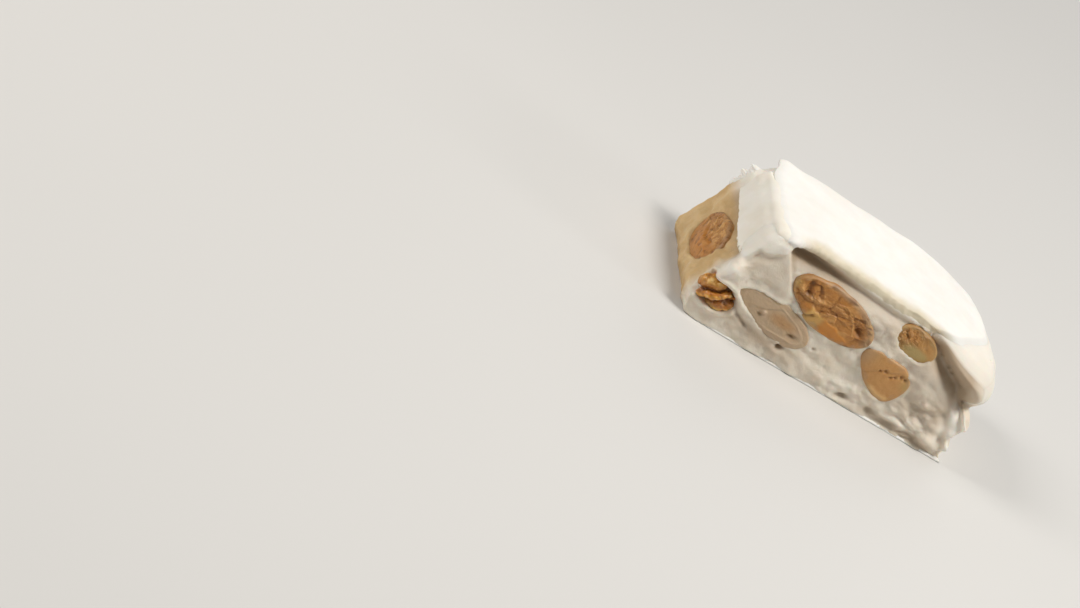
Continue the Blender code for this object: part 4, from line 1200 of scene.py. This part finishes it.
def flap_sheet(down_count=150, back_count=230):
    """A sheet on the leaning end face, from just over the top edge down to its hem.

    Its hem rises towards the back, and both its free edges are torn by noise at two sizes. The bend over
    the top edge is eased. The sheet is thickest near its hem, and sinks into the paste at the front corner
    and into the upper wafer past the top edge.
    """
    down = np.linspace(-0.30, 1, down_count)[:, None]
    y = np.linspace(FLAP_FRONT, FLAP_BACK, back_count)[None, :]
    down, y = np.broadcast_arrays(down, y)
    tear = band(y, -14.0, -12.5, -9.0, -7.0)
    hem = 16.9 + 0.105 * y
    hem = hem + 0.22 * FINE(y / 1.7, 3.5, 1.5) + (0.12 + 0.55 * tear) * FINE(y / 0.6, 3.5, 1.5)
    w = 1 - (1 - (hem - FOOT) / (TOP - FOOT)) * held(down)
    over = np.maximum(-down, 0) * 0.36
    y_edge = y + (0.30 * FINE(2.0, 5.0, w * 14) + 0.15 * FINE(2.0, 5.0, w * 40)) * smoothstep(9.0, FLAP_BACK, y)
    under = block_point(over, y_edge * 2 / DEPTH, w)
    under = eased(under.transpose(1, 0, 2), 30).transpose(1, 0, 2)
    normal = normals_of(under)
    normal *= np.sign(-normal[down_count // 2, back_count // 2, 0])
    rim = np.minimum((1 - down) * 9.0, FLAP_BACK - y)
    soft = smoothstep(-0.08, 0.4, rim) * smoothstep(0.0, 2.4, y - FLAP_FRONT)
    body = FLAP * smoothstep(5.0, 0.8, rim) + 0.50 * smoothstep(0.8, 5.0, rim)
    body = body + 0.14 * LUMPS(y / 4.0, 2.0, w * 6) + 0.07 * FINE(y / 1.5, 1, w * 15)
    body = np.where(down < 0, FLAP, body + (FLAP - body) * hump(down, 0.0, 0.12))
    body = body - smoothstep(0.0, -0.26, down) - 0.9 * smoothstep(6.0, 11.0, y) * smoothstep(0.02, -0.06, down)
    sink = 2.0 * smoothstep(-9.5, -15.5, y) * smoothstep(0.02, 0.22, down)
    under = under - normal * sink[..., None]
    return sheet_piece("wafer_flap", under - normal * 0.3, under + normal * (0.15 + body * soft)[..., None])


SKIN = wafer_finish("dragged_skin", (0.87, 0.81, 0.70), (0.93, 0.89, 0.81))
flap = flap_sheet()
flap.data.materials.append(SKIN)
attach(flap, "root")


def torn_fringe(along_count=260, out_count=22):
    """Shreds of wafer along the back edge of the left end: a thin fin whose width is ragged.

    The fin starts on the edge and leans out to the left and back. Its width is three bell curves up the
    edge on a low step, with finer noise on them.
    """
    w = np.linspace(0.56, 0.90, along_count)[None, :]
    out_share = np.linspace(0, 1, out_count)[:, None]
    w, out_share = np.broadcast_arrays(w, out_share)
    peaks = 0.8 * hump(w, 0.635, 0.030) + 1.1 * hump(w, 0.765, 0.024) + 1.0 * hump(w, 0.855, 0.018)
    peaks = peaks + band(w, 0.60, 0.68, 0.86, 0.90)
    width = peaks * (0.85 + 0.35 * FINE(w * 60.0, 1.0, 4.0)) + 0.15 * np.abs(FINE(w * 160.0, 1.0, 4.0)) + 0.05
    foot = block_point(np.full_like(w, 0.004), np.full_like(w, 0.985), w)
    way = np.array([-0.89, 0.38, 0.23])
    ridge = foot + (out_share * width - 0.35)[..., None] * way
    ridge[..., 2] += 0.3 * out_share * FINE(w * 40.0, 5.0, 1.0)
    half = (0.75 + 0.3 * FINE(w * 30.0, 8.0, 1.0)) * (1 - out_share) ** 0.7 + 0.06
    thick = half[..., None] * np.array([0.38, 0.9, -0.2])
    return sheet_piece("wafer_shreds", ridge - thick, ridge + thick)


shreds = torn_fringe()
shreds.data.materials.append(STARCH)
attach(shreds, "root")


# The lower wafer: the same starch sheet, flat under the slice. It shows as a thin pale line at the foot of
# the cut faces, with a slightly crumbled edge.
def wafer_bottom(along_count=220, back_count=90):
    """A flat sheet with its edges shifted by fine noise, rounded over at its rim."""
    along, back = np.meshgrid(np.linspace(0, 1, along_count), np.linspace(0, 1, back_count), indexing="ij")
    length, depth = FOOT_RIGHT - FOOT_LEFT + 0.3, DEPTH + 0.1
    x, y = FOOT_LEFT + along * length, -depth / 2 + back * depth
    x = x + (0.5 * LUMPS(7.5, y / 2.4, 0.0) + 0.15 * FINE(7.5, y / 0.8, 0.0)) * smoothstep(0.5, 1.0, along)
    x = x + 0.2 * LUMPS(6.5, y / 3.0, 0.0) + 0.1 * FINE(6.5, y / 0.9, 3.0) * smoothstep(0.3, 0.0, along)
    y = y + 0.12 * LUMPS(x / 4.0, 8.5, 0.0) + 0.07 * FINE(x / 1.1, 2.5, 0.0) * np.abs(2 * back - 1)
    y = y + 0.06 * smoothstep(0.10, 0.0, back)
    corner = held(1 - along * length / 2.5) * held(1 - back * depth / 2.5)
    x, y = x + 1.1 * corner, y + 1.1 * corner
    rim = np.minimum(np.minimum(along, 1 - along) * length, np.minimum(back, 1 - back) * depth)
    over = np.sqrt(held(1 - (1 - held(rim / 0.25)) ** 2))
    lower = np.stack([x, y, 0.12 * (1 - over)], -1)
    upper = np.stack([x, y, 0.25 + 0.27 * over], -1)
    return sheet_piece("wafer_bottom_sheet", lower, upper)


underlay = wafer_bottom()
underlay.data.materials.append(STARCH)
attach(underlay, "root")
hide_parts("wafer_bottom")


# The studio: a plain pale floor, a large soft key light high above the right side, three weaker lights from
# the left, the right and behind, and the camera where the photograph was taken from, rolled as it was.
FLOOR_REACH = 3
floor_mesh = bpy.data.meshes.new("studio_floor")
floor_mesh.from_pydata([(x * FLOOR_REACH, y * FLOOR_REACH, 0) for x, y in ((-1, -1), (1, -1), (1, 1), (-1, 1))],
                       [], [(0, 1, 2, 3)])
floor = linked("studio_floor", floor_mesh)
material, tree, shader = new_material("pale_floor", 0.75)
place = coordinates(tree, 1.0)
tone = ramp(tree, noise(tree, place, 3.0, 2.0), (0.3, (0.66, 0.65, 0.63)), (0.7, (0.69, 0.68, 0.66)))
tree.links.new(tone, shader.inputs["Base Color"])
floor.data.materials.append(material)


def placing(x_way, y_way, z_way, place):
    """The matrix that turns an object's own ways to the given ones and moves it to a place."""
    return Matrix([*zip(x_way, y_way, z_way, place), (0, 0, 0, 1)])


def soft_light(name, place, target, size, power, colour):
    """A square area light at a place, facing a target."""
    data = bpy.data.lights.new(name, "AREA")
    data.shape, data.size, data.energy, data.color = "SQUARE", size, power, colour
    z_way = (place - target) / np.linalg.norm(place - target)
    x_way = np.cross((0, 0, 1), z_way)
    x_way /= np.linalg.norm(x_way)
    linked(name, data).matrix_world = placing(x_way, np.cross(z_way, x_way), z_way, place)


MIDDLE = np.array([0.0, 0.0, 0.012])
for name, place, size, power, colour in (
        ("key", (0.28, -0.20, 0.76), 0.22, 4.7, (1.0, 0.98, 0.945)),
        ("left", (-0.62, 0.02, 0.46), 0.30, 2.5, (1.0, 0.965, 0.92)),
        ("right", (0.74, -0.24, 0.34), 0.22, 0.9, (1.0, 0.975, 0.94)),
        ("back", (0.30, 0.66, 0.42), 0.50, 1.2, (1.0, 0.98, 0.96))):
    soft_light(name, np.array(place), MIDDLE, size, power, colour)
world = bpy.data.worlds.new("soft_room")
world.use_nodes = True
room = world.node_tree.nodes["Background"].inputs
room["Color"].default_value, room["Strength"].default_value = (1.0, 0.985, 0.96, 1.0), 0.15
bpy.context.scene.world = world
bpy.context.scene.view_settings.view_transform = "Standard"

camera_data = bpy.data.cameras.new("camera")
camera_data.sensor_width, camera_data.lens, camera_data.clip_end = 36.0, 100.0, 20.0
camera = linked("camera", camera_data)
RIGHT_WAY = (0.8336, -0.0018, 0.5524)
UP_WAY = (-0.4817, 0.4871, 0.7285)
BACK_WAY = (-0.2703, -0.8734, 0.4051)
EYE = (-0.2249, -0.5532, 0.2340)
camera.matrix_world = placing(RIGHT_WAY, UP_WAY, BACK_WAY, EYE)
bpy.context.scene.camera = camera
